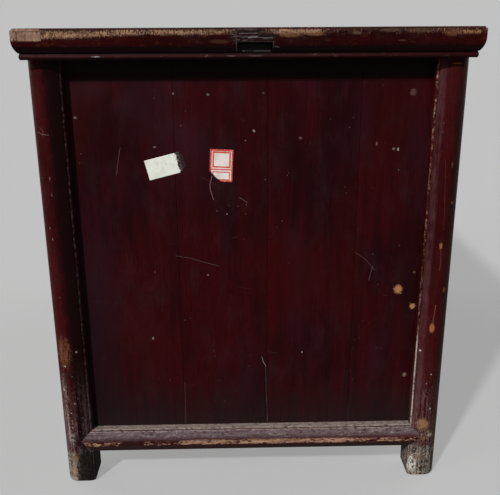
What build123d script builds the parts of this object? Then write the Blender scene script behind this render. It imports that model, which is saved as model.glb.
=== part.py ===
from build123d import *
import os
from math import sqrt

# Kang cabinet: a low cupboard with a moulded, overhanging top, round-cornered legs, mitred
# rails and tongued board panels. Two drawers stand over a pair of pivoting doors.
#
# Millimetres, +Z up. The origin is on the floor under the middle of the top. The doors and
# drawers face -Y, and the plain boarded ends face -X and +X.

# ---------------------------------------------------------------- overall sizes
top_length = 800.0  # along X, over the outermost edges of the top
top_depth = 500.0  # along Y, over the outermost edges of the top
cabinet_height = 568.0
end_overhang = 16.0  # the top's edge past the legs, at each end
side_overhang = 8.0  # the top's edge past the legs, at front and back

# ---------------------------------------------------------------- top frame
top_thickness = 32.0
top_rail_width = 62.0
top_arris_radius = 2.0
top_flat_height = 12.0  # the upright part of the moulding
cove_run = 4.7  # how far the cove goes in
cove_foot = 24.7  # how far the cove's foot is below the top
top_quirk_run = 6.4
top_quirk_foot = 25.6
top_bead_run = 5.3  # the crest of the bead under the cove
corner_tenon_start = 7.0  # from the front or back edge to the through tenon
corner_tenon_width = 25.0
corner_tenon_drop = 3.5  # from the top face to the through tenon
corner_tenon_height = 9.3
corner_tenon_setback = 0.3  # the tenon's end behind the moulding
top_board_thickness = 12.0
top_board_setback = 0.5  # the boards' upper face below the frame's
top_tongue_length = 8.0
top_tongue_drop = 5.0  # from the top face to the boards' tongue
top_tongue_thickness = 5.0
top_board_count = 5
top_batten_width = 36.0
top_batten_offset = 5.0  # from the middle towards the back
top_batten_dovetail = 4.0  # how deep the batten goes into the boards
top_batten_neck = 30.0
top_batten_head = 34.0
top_batten_tenon_rise = 6.8  # from the frame's underside up to the tenon
top_batten_tenon_drop = 4.3  # from the boards' underside down to the tenon
top_batten_tenon_setback = 8.0  # the shrunken tenon's end behind the moulding
top_batten_slot = 2.0  # the open slot over the shrunken tenon

# ---------------------------------------------------------------- legs and rails
leg_size = 37.0
leg_corner_radius = 14.0
face_drop = 4.2  # from the frontmost line of a leg's face to its quirk
bead_width = 3.0
bead_rise = 0.4
bead_return = 1.0
quirk_width = 0.8
quirk_depth = 0.9
foot_height = 45.0
foot_rounding = 5.0  # the worn lower edges of the feet
bottom_rail_height = 31.0
mid_rail_height = 25.0
mitre_depth = 12.0  # how deep the pointed shoulders go into a leg
rail_tenon_depth = 14.0  # from the leg's outer plane to the tenon's cheek
rail_tenon_thickness = 10.0
rail_tenon_height = 9.0
rail_tenon_end_wood = 1.0  # past a tenon's end, before the other face's mitre
low_tenon_rise = 2.5  # the lower of the two tenons that cross in a leg
high_tenon_rise = 13.0  # the higher one
leg_tenon_size = 14.0
leg_tenon_cover = 4.2  # the wood between a leg's tenon and the through tenon over it
leg_tenon_from_end = 16.0  # from the leg's outer X plane
leg_tenon_from_side = 8.0  # from the leg's outer Y plane
divider_width = 24.0
divider_tenon_length = 10.0

# ---------------------------------------------------------------- panels
panel_setback = 14.0  # from the legs' frontmost line back to the boards' face
board_thickness = 10.0
panel_groove_depth = 6.0
top_groove_depth = 5.0
board_gap = 0.3
board_tongue = 4.0
board_tongue_thickness = 3.4
end_board_widths = (124.0, 106.5, 105.5)  # from the front; the last board takes the rest
batten_height = 30.0
batten_dovetail = 3.0
batten_neck = 24.0
end_batten_heights = (135.0, 330.0)
back_batten_offset = 170.0
back_board_count = 3

# ---------------------------------------------------------------- floor
floor_thickness = 9.0
floor_drop = 8.0  # from the bottom rails' upper side to the floor boards
floor_groove_depth = 6.0
floor_board_count = 4
bearer_width = 40.0
bearer_offset = 170.0
bearer_tenon_length = 10.0

# ---------------------------------------------------------------- drawers
drawer_zone_height = 110.0
front_setback = 9.0  # doors and drawer fronts behind the legs' frontmost line
front_thickness = 18.0
drawer_side_gap = 0.7
drawer_top_gap = 0.8
slide_clearance = 0.3
drawer_side_thickness = 10.0
drawer_side_drop = 3.0  # the sides' upper edge below the front's
drawer_bottom_thickness = 6.0
drawer_bottom_rise = 8.0
drawer_groove_depth = 4.0
dovetail_length = 10.0
dovetail_root = 20.0
dovetail_end = 28.0
dovetail_places = (0.25, 0.75)  # shares of a side's height
runner_width = 26.0
middle_runner_width = 66.0
runner_height = 14.0
runner_tenon_length = 5.0
runner_shoulder = 3.0
guide_height = 18.0
face_line_inset = 6.0  # the scratched line round a drawer front or a door's frame
face_line_width = 1.0
face_line_depth = 0.8

# ---------------------------------------------------------------- doors
door_gap = 0.6  # beside the pivot stile
door_meeting_gap = 0.5  # each door, from the middle
door_end_gap = 1.0  # above and below a door
door_stile_width = 42.0
door_rail_width = 42.0
door_panel_thickness = 8.0
door_panel_setback = 4.0
door_groove_depth = 6.0
door_tenon_thickness = 6.0
door_tenon_inset = 12.0
door_tenon_width = 16.0
door_stop_gap = 0.3  # behind a closed door
door_stop_height = 4.0
pivot_radius = 5.5
pivot_clearance = 0.1
lower_pivot_length = 5.0
upper_pivot_length = 9.0
socket_spare = 1.0

# ---------------------------------------------------------------- brass
plate_radius = 40.0
plate_thickness = 1.2
post_thickness = 3.0
post_radius = 5.0
post_reach = 7.0  # from the wood's face out to the eye's centre
post_shank_height = 5.0
post_tail_length = 16.0
post_tail_thickness = 1.2
shank_clearance = 0.1
eye_clearance = 0.4
ring_radius = 14.0
ring_wire = 1.8
ring_offset = 24.0  # from the doors' meeting edge to the ring's eye
lock_eye_offset = 6.5
lock_eye_bore = 2.6
bail_wire = 2.0
bail_post_offset = 35.0
bail_arm_offset = 30.0
bail_drop = 26.0
bail_shoulder = 13.0
bail_pin_overrun = 2.0
bail_bend_radius = 2.6
bail_corner_radius = 8.0
drawer_plate_length = 104.0
drawer_plate_height = 26.0
drawer_plate_notch = 7.0
bail_axis_rise = 8.0  # the bail's axis over the middle of the drawer front

# ---------------------------------------------------------------- paper labels
label_long = 38.0
label_short = 25.5
label_thickness = 0.3
white_label_place = (-101.0, 418.0)  # along the end, and up
white_label_turn = 12.0
red_label_place = (-33.0, 417.0)
red_label_turn = -1.0

# ---------------------------------------------------------------- fits
joint_clearance = 0.15  # round a tenon, a tongue or a panel's edge
end_clearance = 0.5  # past the end of a tenon or a tongue

# ---------------------------------------------------------------- places that follow
top_underside = cabinet_height - top_thickness
board_underside = cabinet_height - top_board_setback - top_board_thickness
leg_outer_x = top_length / 2 - end_overhang
leg_outer_y = top_depth / 2 - side_overhang
leg_inner_x = leg_outer_x - leg_size
leg_inner_y = leg_outer_y - leg_size
bottom_rail_top = foot_height + bottom_rail_height
mid_rail_top = top_underside - drawer_zone_height
mid_rail_bottom = mid_rail_top - mid_rail_height
floor_top = bottom_rail_top - floor_drop
floor_underside = floor_top - floor_thickness
bead_zone = bead_width + quirk_width
rail_tenon_length = leg_size - mitre_depth - rail_tenon_end_wood
leg_tenon_length = top_thickness - corner_tenon_drop - corner_tenon_height - leg_tenon_cover
panel_inner_depth = panel_setback + board_thickness
door_stop_depth = front_setback + front_thickness + door_stop_gap

cut = 20.0  # how far a cutting shape runs past the wood

up = Vector(0, 0, 1)


def side_frame(distance, outward):
    """A plane on one side of the cabinet: x runs along it, y runs up and z points out."""
    outward = Vector(*outward)
    return Plane(origin=outward * distance, x_dir=up.cross(outward), z_dir=outward)


front = side_frame(leg_outer_y, (0, -1, 0))
back = side_frame(leg_outer_y, (0, 1, 0))
right = side_frame(leg_outer_x, (1, 0, 0))
left = side_frame(leg_outer_x, (-1, 0, 0))
upright_front = Plane(origin=front.origin, x_dir=(0, 0, 1), z_dir=front.z_dir)

top_front = side_frame(top_depth / 2, (0, -1, 0))
top_back = side_frame(top_depth / 2, (0, 1, 0))
top_right = side_frame(top_length / 2, (1, 0, 0))
top_left = side_frame(top_length / 2, (-1, 0, 0))


def save(piece, name):
    """Label a finished piece and write its file."""
    piece.part.label = name
    export_step(piece.part, f"parts/{name}.step")


def block(x_span, y_span, z_span, mode=Mode.ADD):
    """A box between pairs of coordinates, in the part that is being built."""
    spans = (x_span, y_span, z_span)
    with Locations(tuple((a + b) / 2 for a, b in spans)):
        Box(*(abs(b - a) for a, b in spans), mode=mode)


def side_block(frame, along, upward, depth, mode=Mode.ADD):
    """A box on a side of the cabinet: spans along it, upward and inward from its plane."""
    spans = (along, upward, (-depth[0], -depth[1]))
    middle = Vector(*((a + b) / 2 for a, b in spans))
    with Locations(frame.location * Location(middle)):
        Box(*(abs(b - a) for a, b in spans), mode=mode)


def grown(span, clearance):
    """A span made longer by a clearance at both ends."""
    low, high = sorted(span)
    return (low - clearance, high + clearance)


def bulge(distance):
    """How far a leg's face has fallen back, this far from its frontmost line."""
    reach = leg_size - bead_zone - leg_corner_radius
    radius = (reach**2 + face_drop**2) / (2 * face_drop)
    return radius - sqrt(radius**2 - distance**2)


# ================================================================ legs
def leg_outline(x_side, y_side):
    """A leg's section: two bowed outer faces, each with a bead at its inner arris."""
    reach = leg_size - bead_zone
    half_way = (leg_corner_radius + reach) / 2
    corner = leg_corner_radius * (1 - 1 / sqrt(2))

    def place(point, swapped):
        across, along = (point[1], point[0]) if swapped else point
        return (x_side * (leg_outer_x - across), y_side * (leg_outer_y - along))

    with BuildSketch() as section:
        with BuildLine():
            for swapped in (False, True):
                bow = [
                    (0, leg_corner_radius),
                    (bulge(half_way - leg_corner_radius), half_way),
                    (face_drop, reach),
                ]
                bead = [
                    (face_drop + quirk_depth, leg_size - bead_width),
                    (face_drop - bead_rise, leg_size - bead_width / 2),
                    (face_drop + bead_return, leg_size),
                ]
                ThreePointArc(*(place(point, swapped) for point in bow))
                Line(place(bow[-1], swapped), place(bead[0], swapped))
                ThreePointArc(*(place(point, swapped) for point in bead))
                Line(place(bead[-1], swapped), place((leg_size, leg_size), swapped))
            ThreePointArc(
                place((0, leg_corner_radius), False),
                place((corner, corner), False),
                place((leg_corner_radius, 0), False),
            )
        make_face()
    return section.sketch


def nose_outline(plane, low, high, edges, points):
    """A bar's face seen from outside, with a pointed or a square shoulder at each end."""
    middle = (edges[0] + edges[1]) / 2
    outline = [(low, edges[0]), (high, edges[0]), (high + points[1], middle), (high, edges[1])]
    outline += [(low, edges[1]), (low - points[0], middle)]
    if not points[0]:
        outline.pop()
    if not points[1]:
        outline.pop(2)
    with BuildSketch(plane) as face:
        Polygon(*outline, align=None)
    return face.sketch


def cut_nose(frame, low, high, edges, points):
    """Let a bar's pointed shoulders into the wood that they meet."""
    bed = frame.offset(-mitre_depth)
    extrude(nose_outline(bed, low, high, edges, points), amount=mitre_depth + cut, mode=Mode.SUBTRACT)


def bar(frame, low, high, edges, points, lower_bead):
    """A bowed bar with a bead at its upper or at both arrises, and pointed shoulders."""
    start, end = edges
    middle = (start + end) / 2
    face_low = start + (bead_zone if lower_bead else 0)
    face_high = end - bead_zone
    crest = bulge(leg_size - leg_corner_radius - (end - start) / 2)
    section_plane = Plane(origin=frame.origin, x_dir=-frame.z_dir, z_dir=frame.x_dir)

    with BuildSketch(section_plane.offset(low - points[0])) as section:
        with BuildLine():
            ThreePointArc(
                (face_drop, face_low),
                (crest, (face_low + face_high) / 2),
                (face_drop, face_high),
            )
            Line((face_drop, face_high), (face_drop + quirk_depth, end - bead_width))
            ThreePointArc(
                (face_drop + quirk_depth, end - bead_width),
                (face_drop - bead_rise, end - bead_width / 2),
                (face_drop + bead_return, end),
            )
            Polyline((face_drop + bead_return, end), (leg_size, end), (leg_size, start))
            if lower_bead:
                Line((leg_size, start), (face_drop + bead_return, start))
                ThreePointArc(
                    (face_drop + bead_return, start),
                    (face_drop - bead_rise, start + bead_width / 2),
                    (face_drop + quirk_depth, start + bead_width),
                )
                Line((face_drop + quirk_depth, start + bead_width), (face_drop, face_low))
            else:
                Line((leg_size, start), (face_drop, face_low))
        make_face()
    extrude(section.sketch, amount=high - low + points[0] + points[1])

    for shoulder, point, way in ((low, points[0], -1), (high, points[1], 1)):
        if not point:
            continue
        past = shoulder + way * (point + 1)
        side_block(frame, (shoulder, past), grown(edges, 1), (mitre_depth, leg_size + 1), Mode.SUBTRACT)
        for edge, rise in ((start, -1), (end, 1)):
            with BuildSketch(frame) as waste:
                Polygon(
                    (shoulder, edge),
                    (shoulder, edge + rise),
                    (past, edge + rise),
                    (past, middle),
                    (shoulder + way * point, middle),
                    align=None,
                )
            extrude(waste.sketch, amount=leg_size, both=True, mode=Mode.SUBTRACT)


def rail_tenon(rise, base):
    """The upward span of a rail's tenon."""
    return (base + rise, base + rise + rail_tenon_height)


tenon_cheeks = (rail_tenon_depth, rail_tenon_depth + rail_tenon_thickness)
bottom_edges = (foot_height, bottom_rail_top)
mid_edges = (mid_rail_bottom, mid_rail_top)
bottom_point = bottom_rail_height / 2
mid_point = mid_rail_height / 2
long_tenon_rise = rail_tenon(high_tenon_rise, foot_height)
short_tenon_rise = rail_tenon(low_tenon_rise, foot_height)
mid_tenon_rise = rail_tenon((mid_rail_height - rail_tenon_height) / 2, mid_rail_bottom)
panel_depths = (panel_setback, panel_inner_depth)


def mortise(frame, half_length, upward):
    """Cut a rail's two mortises, one in each leg that it runs between."""
    reach = half_length + rail_tenon_length + end_clearance
    depth = grown(tenon_cheeks, joint_clearance)
    side_block(frame, (-reach, reach), grown(upward, joint_clearance), depth, Mode.SUBTRACT)


def leg_tenon_spans(x_side, y_side, clearance):
    """The plan of a leg's top tenon, which sits in the long rail of the top."""
    from_end = (leg_tenon_from_end, leg_tenon_from_end + leg_tenon_size)
    from_side = (leg_tenon_from_side, leg_tenon_from_side + leg_tenon_size)
    x_span = grown([x_side * (leg_outer_x - u) for u in from_end], clearance)
    y_span = grown([y_side * (leg_outer_y - v) for v in from_side], clearance)
    return x_span, y_span


def worn_post(x_side, y_side):
    """A post as wide as a leg and as round at its outer corner, with worn lower edges."""
    outer_arris = (x_side * leg_outer_x, y_side * leg_outer_y, top_underside / 2)
    with BuildPart() as post:
        x_span = (x_side * leg_inner_x, x_side * leg_outer_x)
        y_span = (y_side * leg_inner_y, y_side * leg_outer_y)
        block(x_span, y_span, (0, top_underside))
        fillet(post.edges().filter_by(Axis.Z).sort_by_distance(outer_arris)[0], leg_corner_radius)
        fillet(post.edges().group_by(Axis.Z)[0], foot_rounding)
    return post.part


def make_leg(x_side, y_side):
    """One leg, with its grooves, mortises and the beds of the pointed shoulders."""
    long_side = front if y_side < 0 else back
    short_side = right if x_side > 0 else left
    post = worn_post(x_side, y_side)
    with BuildPart() as leg:
        extrude(leg_outline(x_side, y_side), amount=top_underside)
        add(post, mode=Mode.INTERSECT)
        block(*leg_tenon_spans(x_side, y_side, 0), (top_underside - 1, top_underside + leg_tenon_length))
        cut_nose(long_side, -leg_inner_x, leg_inner_x, bottom_edges, (bottom_point, bottom_point))
        cut_nose(long_side, -leg_inner_x, leg_inner_x, mid_edges, (mid_point, mid_point))
        cut_nose(short_side, -leg_inner_y, leg_inner_y, bottom_edges, (bottom_point, bottom_point))
        mortise(long_side, leg_inner_x, long_tenon_rise)
        mortise(long_side, leg_inner_x, mid_tenon_rise)
        mortise(short_side, leg_inner_y, short_tenon_rise)
        panel_rise = (bottom_rail_top - panel_groove_depth, top_underside)
        groove = grown(panel_depths, joint_clearance)
        reach = leg_inner_y + panel_groove_depth
        side_block(short_side, (-reach, reach), panel_rise, groove, Mode.SUBTRACT)
        if y_side > 0:
            reach = leg_inner_x + panel_groove_depth
            side_block(long_side, (-reach, reach), panel_rise, groove, Mode.SUBTRACT)
    return leg


# ================================================================ rails
def panel_groove(frame, half_length, upward):
    """A groove for the edge of a boarded panel, in the rail of one side."""
    groove = grown(panel_depths, joint_clearance)
    side_block(frame, (-half_length, half_length), upward, groove, Mode.SUBTRACT)


def floor_groove(frame, half_length):
    """The groove for the floor boards, in the inner side of a bottom rail."""
    depth = (leg_size - floor_groove_depth, leg_size + 1)
    upward = grown((floor_underside, floor_top), joint_clearance)
    side_block(frame, (-half_length, half_length), upward, depth, Mode.SUBTRACT)


def door_axis(side):
    """Where a door turns: x, and the depth from the front's outer plane."""
    pivot_depth = front_setback + front_thickness / 2
    return side * (leg_inner_x - door_gap - front_thickness / 2), -leg_outer_y + pivot_depth


def pivot_sockets(z_span):
    """The two round sockets that hold the doors' pivots."""
    for side in (-1, 1):
        x, y = door_axis(side)
        with Locations((x, y, (z_span[0] + z_span[1]) / 2)):
            Cylinder(pivot_radius + pivot_clearance, abs(z_span[1] - z_span[0]), mode=Mode.SUBTRACT)


def end_rail(frame):
    """A bottom rail under the boards of one end."""
    with BuildPart() as rail:
        bar(frame, -leg_inner_y, leg_inner_y, bottom_edges, (bottom_point, bottom_point), False)
        reach = leg_inner_y + rail_tenon_length
        side_block(frame, (-reach, reach), short_tenon_rise, tenon_cheeks)
        panel_groove(frame, leg_inner_y, (bottom_rail_top - panel_groove_depth, bottom_rail_top + 1))
        floor_groove(frame, leg_inner_y)
    return rail


def bearer_mortises(frame):
    """The mortises for the floor's bearers, in the inner side of a long rail."""
    for middle in (-bearer_offset, bearer_offset):
        across = grown((middle - bearer_width / 2, middle + bearer_width / 2), joint_clearance)
        depth = (leg_size - bearer_tenon_length - end_clearance, leg_size + 1)
        upward = (foot_height + 1, floor_underside)
        side_block(frame, across, upward, depth, Mode.SUBTRACT)


def runner_mortises(frame):
    """The mortises for the drawer runners, in the inner side of a mid rail."""
    for middle, width in runner_places():
        across = grown((middle - width / 2, middle + width / 2), joint_clearance)
        depth = (leg_size - runner_tenon_length - end_clearance, leg_size + 1)
        side_block(frame, across, grown(runner_tenon_rise, joint_clearance), depth, Mode.SUBTRACT)


def runner_places():
    """The middle and the width of each drawer runner, along X."""
    outer = leg_inner_x - runner_width / 2
    return ((-outer, runner_width), (0.0, middle_runner_width), (outer, runner_width))


runner_tenon_rise = (mid_rail_top - runner_height + runner_shoulder, mid_rail_top - runner_shoulder)
divider_edges = (-divider_width / 2, divider_width / 2)
divider_point = divider_width / 2
divider_tenon = (-rail_tenon_thickness / 2, rail_tenon_thickness / 2)

with BuildPart() as bottom_front_rail:
    bar(front, -leg_inner_x, leg_inner_x, bottom_edges, (bottom_point, bottom_point), False)
    tenon_reach = leg_inner_x + rail_tenon_length
    side_block(front, (-tenon_reach, tenon_reach), long_tenon_rise, tenon_cheeks)
    stop_span = (bottom_rail_top - 1, bottom_rail_top + door_stop_height)
    side_block(front, (-leg_inner_x, leg_inner_x), stop_span, (door_stop_depth, leg_size))
    floor_groove(front, leg_inner_x)
    bearer_mortises(front)
    socket_top = bottom_rail_top + door_end_gap
    pivot_sockets((socket_top - lower_pivot_length - socket_spare - door_end_gap, socket_top))

with BuildPart() as bottom_back_rail:
    bar(back, -leg_inner_x, leg_inner_x, bottom_edges, (bottom_point, bottom_point), False)
    side_block(back, (-tenon_reach, tenon_reach), long_tenon_rise, tenon_cheeks)
    panel_groove(back, leg_inner_x, (bottom_rail_top - panel_groove_depth, bottom_rail_top + 1))
    floor_groove(back, leg_inner_x)
    bearer_mortises(back)

with BuildPart() as front_mid_rail:
    bar(front, -leg_inner_x, leg_inner_x, mid_edges, (mid_point, mid_point), True)
    side_block(front, (-tenon_reach, tenon_reach), mid_tenon_rise, tenon_cheeks)
    stop_span = (mid_rail_bottom - door_stop_height, mid_rail_bottom + 1)
    side_block(front, (-leg_inner_x, leg_inner_x), stop_span, (door_stop_depth, leg_size))
    cut_nose(upright_front, mid_rail_top, top_underside, divider_edges, (divider_point, 0))
    divider_bed = (mid_rail_top - divider_tenon_length - end_clearance, mid_rail_top + 1)
    across_divider = grown(divider_tenon, joint_clearance)
    side_block(front, across_divider, divider_bed, grown(tenon_cheeks, joint_clearance), Mode.SUBTRACT)
    runner_mortises(front)
    socket_floor = mid_rail_bottom - door_end_gap
    socket_roof = mid_rail_bottom + upper_pivot_length + lower_pivot_length + socket_spare
    pivot_sockets((socket_floor, socket_roof))

with BuildPart() as back_mid_rail:
    bar(back, -leg_inner_x, leg_inner_x, mid_edges, (mid_point, mid_point), True)
    side_block(back, (-tenon_reach, tenon_reach), mid_tenon_rise, tenon_cheeks)
    panel_groove(back, leg_inner_x, (mid_rail_top - panel_groove_depth, mid_rail_top + 1))
    panel_groove(back, leg_inner_x, (mid_rail_bottom - 1, mid_rail_bottom + panel_groove_depth))
    runner_mortises(back)

with BuildPart() as drawer_divider:
    bar(upright_front, mid_rail_top, top_underside, divider_edges, (divider_point, 0), True)
    divider_reach = (mid_rail_top - divider_tenon_length, top_underside + divider_tenon_length)
    side_block(front, divider_tenon, divider_reach, tenon_cheeks)

# ================================================================ top frame
through_tenon_up = (
    cabinet_height - corner_tenon_drop - corner_tenon_height,
    cabinet_height - corner_tenon_drop,
)
through_tenon_depth = (corner_tenon_start, corner_tenon_start + corner_tenon_width)
batten_tenon_up = (
    top_underside + top_batten_tenon_rise,
    board_underside - top_batten_tenon_drop,
)
batten_mortise_up = (batten_tenon_up[0], batten_tenon_up[1] + top_batten_slot)
batten_tenon_half = top_batten_width / 2 - end_clearance


def about_batten(half_width):
    """A span of Y about the middle of the top's long batten."""
    return (top_batten_offset - half_width, top_batten_offset + half_width)


def top_rail(frame, half_length):
    """A moulded rail of the top, cut to a mitre at both ends and grooved for the boards."""

    def drop(depth_below_top):
        return cabinet_height - depth_below_top

    section_plane = Plane(origin=frame.origin, x_dir=-frame.z_dir, z_dir=frame.x_dir)
    with BuildSketch(section_plane.offset(-half_length)) as section:
        with BuildLine():
            Line((top_rail_width, drop(0)), (top_arris_radius, drop(0)))
            RadiusArc((top_arris_radius, drop(0)), (0, drop(top_arris_radius)), top_arris_radius)
            Line((0, drop(top_arris_radius)), (0, drop(top_flat_height)))
            TangentArc((0, drop(top_flat_height)), (cove_run, drop(cove_foot)), tangent=(0, -1))
            Line((cove_run, drop(cove_foot)), (top_quirk_run, drop(top_quirk_foot)))
            ThreePointArc(
                (top_quirk_run, drop(top_quirk_foot)),
                (top_bead_run, drop((top_quirk_foot + top_thickness) / 2)),
                (top_quirk_run, drop(top_thickness)),
            )
            Polyline(
                (top_quirk_run, drop(top_thickness)),
                (top_rail_width, drop(top_thickness)),
                (top_rail_width, drop(0)),
            )
        make_face()
    extrude(section.sketch, amount=2 * half_length)

    plan = Plane(origin=frame.origin, x_dir=frame.x_dir, z_dir=up)
    for end in (-1, 1):
        with BuildSketch(plan) as waste:
            Polygon(
                (end * (half_length + 1), -1),
                (end * (half_length + 1), top_rail_width + 1),
                (end * (half_length - top_rail_width - 1), top_rail_width + 1),
                align=None,
            )
        extrude(waste.sketch, amount=cabinet_height + cut, mode=Mode.SUBTRACT)

    tongue = (drop(top_tongue_drop + top_tongue_thickness), drop(top_tongue_drop))
    depth = (top_rail_width - top_tongue_length - end_clearance, top_rail_width + 1)
    reach = half_length - top_rail_width + top_tongue_length + end_clearance
    side_block(frame, (-reach, reach), grown(tongue, joint_clearance), depth, Mode.SUBTRACT)


def top_panel_grooves():
    """The grooves for the upper edges of the end panels and of the back."""
    rise = (top_underside - 1, top_underside + top_groove_depth)
    for frame, half_length in ((left, leg_inner_y), (right, leg_inner_y), (back, leg_inner_x)):
        panel_groove(frame, half_length + panel_groove_depth, rise)


def long_top_rail(frame, y_side):
    """The front or back rail of the top, with its through tenons and the legs' mortises."""
    half_length = top_length / 2
    with BuildPart() as rail:
        top_rail(frame, half_length)
        for end in (-1, 1):
            root = half_length - 2 * corner_tenon_width
            along = (end * root, end * (half_length - corner_tenon_setback))
            side_block(frame, along, through_tenon_up, through_tenon_depth)
            plan = leg_tenon_spans(end, y_side, joint_clearance)
            rise = (top_underside - 1, top_underside + leg_tenon_length + end_clearance)
            block(*plan, rise, Mode.SUBTRACT)
        top_panel_grooves()
    return rail


def short_top_rail(frame):
    """An end rail of the top, open for the through tenons and for the batten's tenon."""
    half_length = top_depth / 2
    with BuildPart() as rail:
        top_rail(frame, half_length)
        for end in (-1, 1):
            low, high = grown(through_tenon_depth, joint_clearance)
            along = (end * (half_length - low), end * (half_length - high))
            upward = grown(through_tenon_up, joint_clearance)
            side_block(frame, along, upward, (-1, 2 * corner_tenon_width), Mode.SUBTRACT)
        across = about_batten(top_batten_width / 2)
        block((-top_length, top_length), across, batten_mortise_up, Mode.SUBTRACT)
        top_panel_grooves()
    return rail


plain_front_rail = long_top_rail(top_front, -1)
with BuildPart() as top_front_rail:
    add(plain_front_rail.part)
    divider_roof = (top_underside - 1, top_underside + divider_tenon_length + end_clearance)
    side_block(front, across_divider, divider_roof, grown(tenon_cheeks, joint_clearance), Mode.SUBTRACT)

top_back_rail = long_top_rail(top_back, 1)


# ================================================================ boards
def seams_between(low, high, count):
    """Evenly spaced seams, with the two outer edges."""
    return [low + (high - low) * index / count for index in range(count + 1)]


def board(frame, seams, index, upward, depth):
    """One board of a panel, tongued into the next board and grooved for the one before."""
    low = seams[index] + (board_gap / 2 if index else 0)
    high = seams[index + 1] - (board_gap / 2 if index < len(seams) - 2 else 0)
    middle = (depth[0] + depth[1]) / 2
    tongue = (middle - board_tongue_thickness / 2, middle + board_tongue_thickness / 2)
    side_block(frame, (low, high), upward, depth)
    if index < len(seams) - 2:
        side_block(frame, (high - 1, high + board_tongue), upward, tongue)
    if index:
        slot = grown(tongue, joint_clearance)
        far = low + board_tongue + end_clearance - board_gap
        side_block(frame, (low - 1, far), grown(upward, 1), slot, Mode.SUBTRACT)


def dovetail_bed(frame, along, middle, clearance):
    """A batten's dovetailed bed, cut across the inner side of a boarded panel."""
    bed = panel_inner_depth - batten_dovetail - clearance
    section = Plane(origin=frame.origin, x_dir=-frame.z_dir, z_dir=frame.x_dir)
    with BuildSketch(section.offset(along[0])) as tail:
        Polygon(*batten_tail(bed, middle, clearance), align=None)
    extrude(tail.sketch, amount=along[1] - along[0], mode=Mode.SUBTRACT)


def batten_tail(bed, middle, clearance):
    """The four corners of a batten's dovetail: its wide bed, and its neck past the boards."""
    half_bed = batten_height / 2 + clearance
    half_neck = batten_neck / 2 + clearance
    return [
        (bed, middle - half_bed),
        (bed, middle + half_bed),
        (panel_inner_depth, middle + half_neck),
        (panel_inner_depth + clearance, middle + half_neck),
        (panel_inner_depth + clearance, middle - half_neck),
        (panel_inner_depth, middle - half_neck),
    ]


end_edge = leg_inner_y + panel_groove_depth - end_clearance
end_panel_up = (
    bottom_rail_top - panel_groove_depth + joint_clearance,
    top_underside + top_groove_depth - end_clearance,
)
end_seams = [-end_edge]
for width in end_board_widths:
    end_seams.append(end_seams[-1] + width)
end_seams.append(end_edge)
end_board_count = len(end_seams) - 1


def end_board(frame, seams, index):
    """One upright board of an end panel, with the beds of both battens."""
    board(frame, seams, index, end_panel_up, panel_depths)
    for middle in end_batten_heights:
        dovetail_bed(frame, (-end_edge - cut, end_edge + cut), middle, joint_clearance)


def batten(frame, half_length, middle, inner_depth):
    """A batten dovetailed across the inner side of a boarded panel."""
    section = Plane(origin=frame.origin, x_dir=-frame.z_dir, z_dir=frame.x_dir)
    half_bed = batten_height / 2
    half_neck = batten_neck / 2
    with BuildSketch(section.offset(-half_length)) as profile:
        Polygon(
            (panel_inner_depth - batten_dovetail, middle - half_bed),
            (panel_inner_depth - batten_dovetail, middle + half_bed),
            (panel_inner_depth, middle + half_neck),
            (panel_inner_depth, middle + half_bed),
            (inner_depth, middle + half_bed),
            (inner_depth, middle - half_bed),
            (panel_inner_depth, middle - half_bed),
            (panel_inner_depth, middle - half_neck),
            align=None,
        )
    extrude(profile.sketch, amount=2 * half_length)


with BuildPart() as end_battens:
    for end_frame in (left, right):
        for batten_middle in end_batten_heights:
            batten(end_frame, leg_inner_y, batten_middle, leg_size)

# The back: one board behind the drawers, and three behind the cupboard, with upright battens.
back_edge = leg_inner_x + panel_groove_depth - end_clearance
back_span = (-back_edge, back_edge)
upper_back_up = (
    mid_rail_top - panel_groove_depth + joint_clearance,
    top_underside + top_groove_depth - end_clearance,
)
lower_back_up = (
    bottom_rail_top - panel_groove_depth + joint_clearance,
    mid_rail_bottom + panel_groove_depth - end_clearance,
)
upright_back = Plane(origin=back.origin, x_dir=(0, 0, 1), z_dir=back.z_dir)

with BuildPart() as back_upper_board:
    side_block(back, back_span, upper_back_up, panel_depths)

back_seams = seams_between(*lower_back_up, back_board_count)
with BuildPart() as back_lower_boards:
    for number in range(back_board_count):
        with BuildPart(mode=Mode.PRIVATE) as back_board:
            board(upright_back, back_seams, number, back_span, panel_depths)
            for batten_middle in (-back_batten_offset, back_batten_offset):
                dovetail_bed(upright_back, (0, top_underside), batten_middle, joint_clearance)
        add(back_board.part)

with BuildPart() as back_battens:
    lower_middle = (bottom_rail_top + mid_rail_bottom) / 2
    upright_middle = Plane(origin=back.origin + up * lower_middle, x_dir=(0, 0, 1), z_dir=back.z_dir)
    for batten_middle in (-back_batten_offset, back_batten_offset):
        half_batten = (mid_rail_bottom - bottom_rail_top) / 2
        batten(upright_middle, half_batten, batten_middle, leg_size)

# The floor: boards along the cabinet on two bearers.
floor_plane = Plane(origin=(0, 0, floor_top), x_dir=(0, 1, 0), z_dir=(0, 0, 1))
floor_edge = leg_inner_y + floor_groove_depth - end_clearance
floor_seams = seams_between(-floor_edge, floor_edge, floor_board_count)
floor_end = leg_inner_x + floor_groove_depth - end_clearance


with BuildPart() as floor_boards:
    for number in range(floor_board_count):
        with BuildPart(mode=Mode.PRIVATE) as floor_board:
            board(floor_plane, floor_seams, number, (-floor_end, floor_end), (0, floor_thickness))
            for x_side in (-1, 1):
                for y_side in (-1, 1):
                    block(
                        (x_side * (leg_inner_x - joint_clearance), x_side * (leg_outer_x + cut)),
                        (y_side * (leg_inner_y - joint_clearance), y_side * (leg_outer_y + cut)),
                        (0, cabinet_height),
                        Mode.SUBTRACT,
                    )
        add(floor_board.part)

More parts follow.
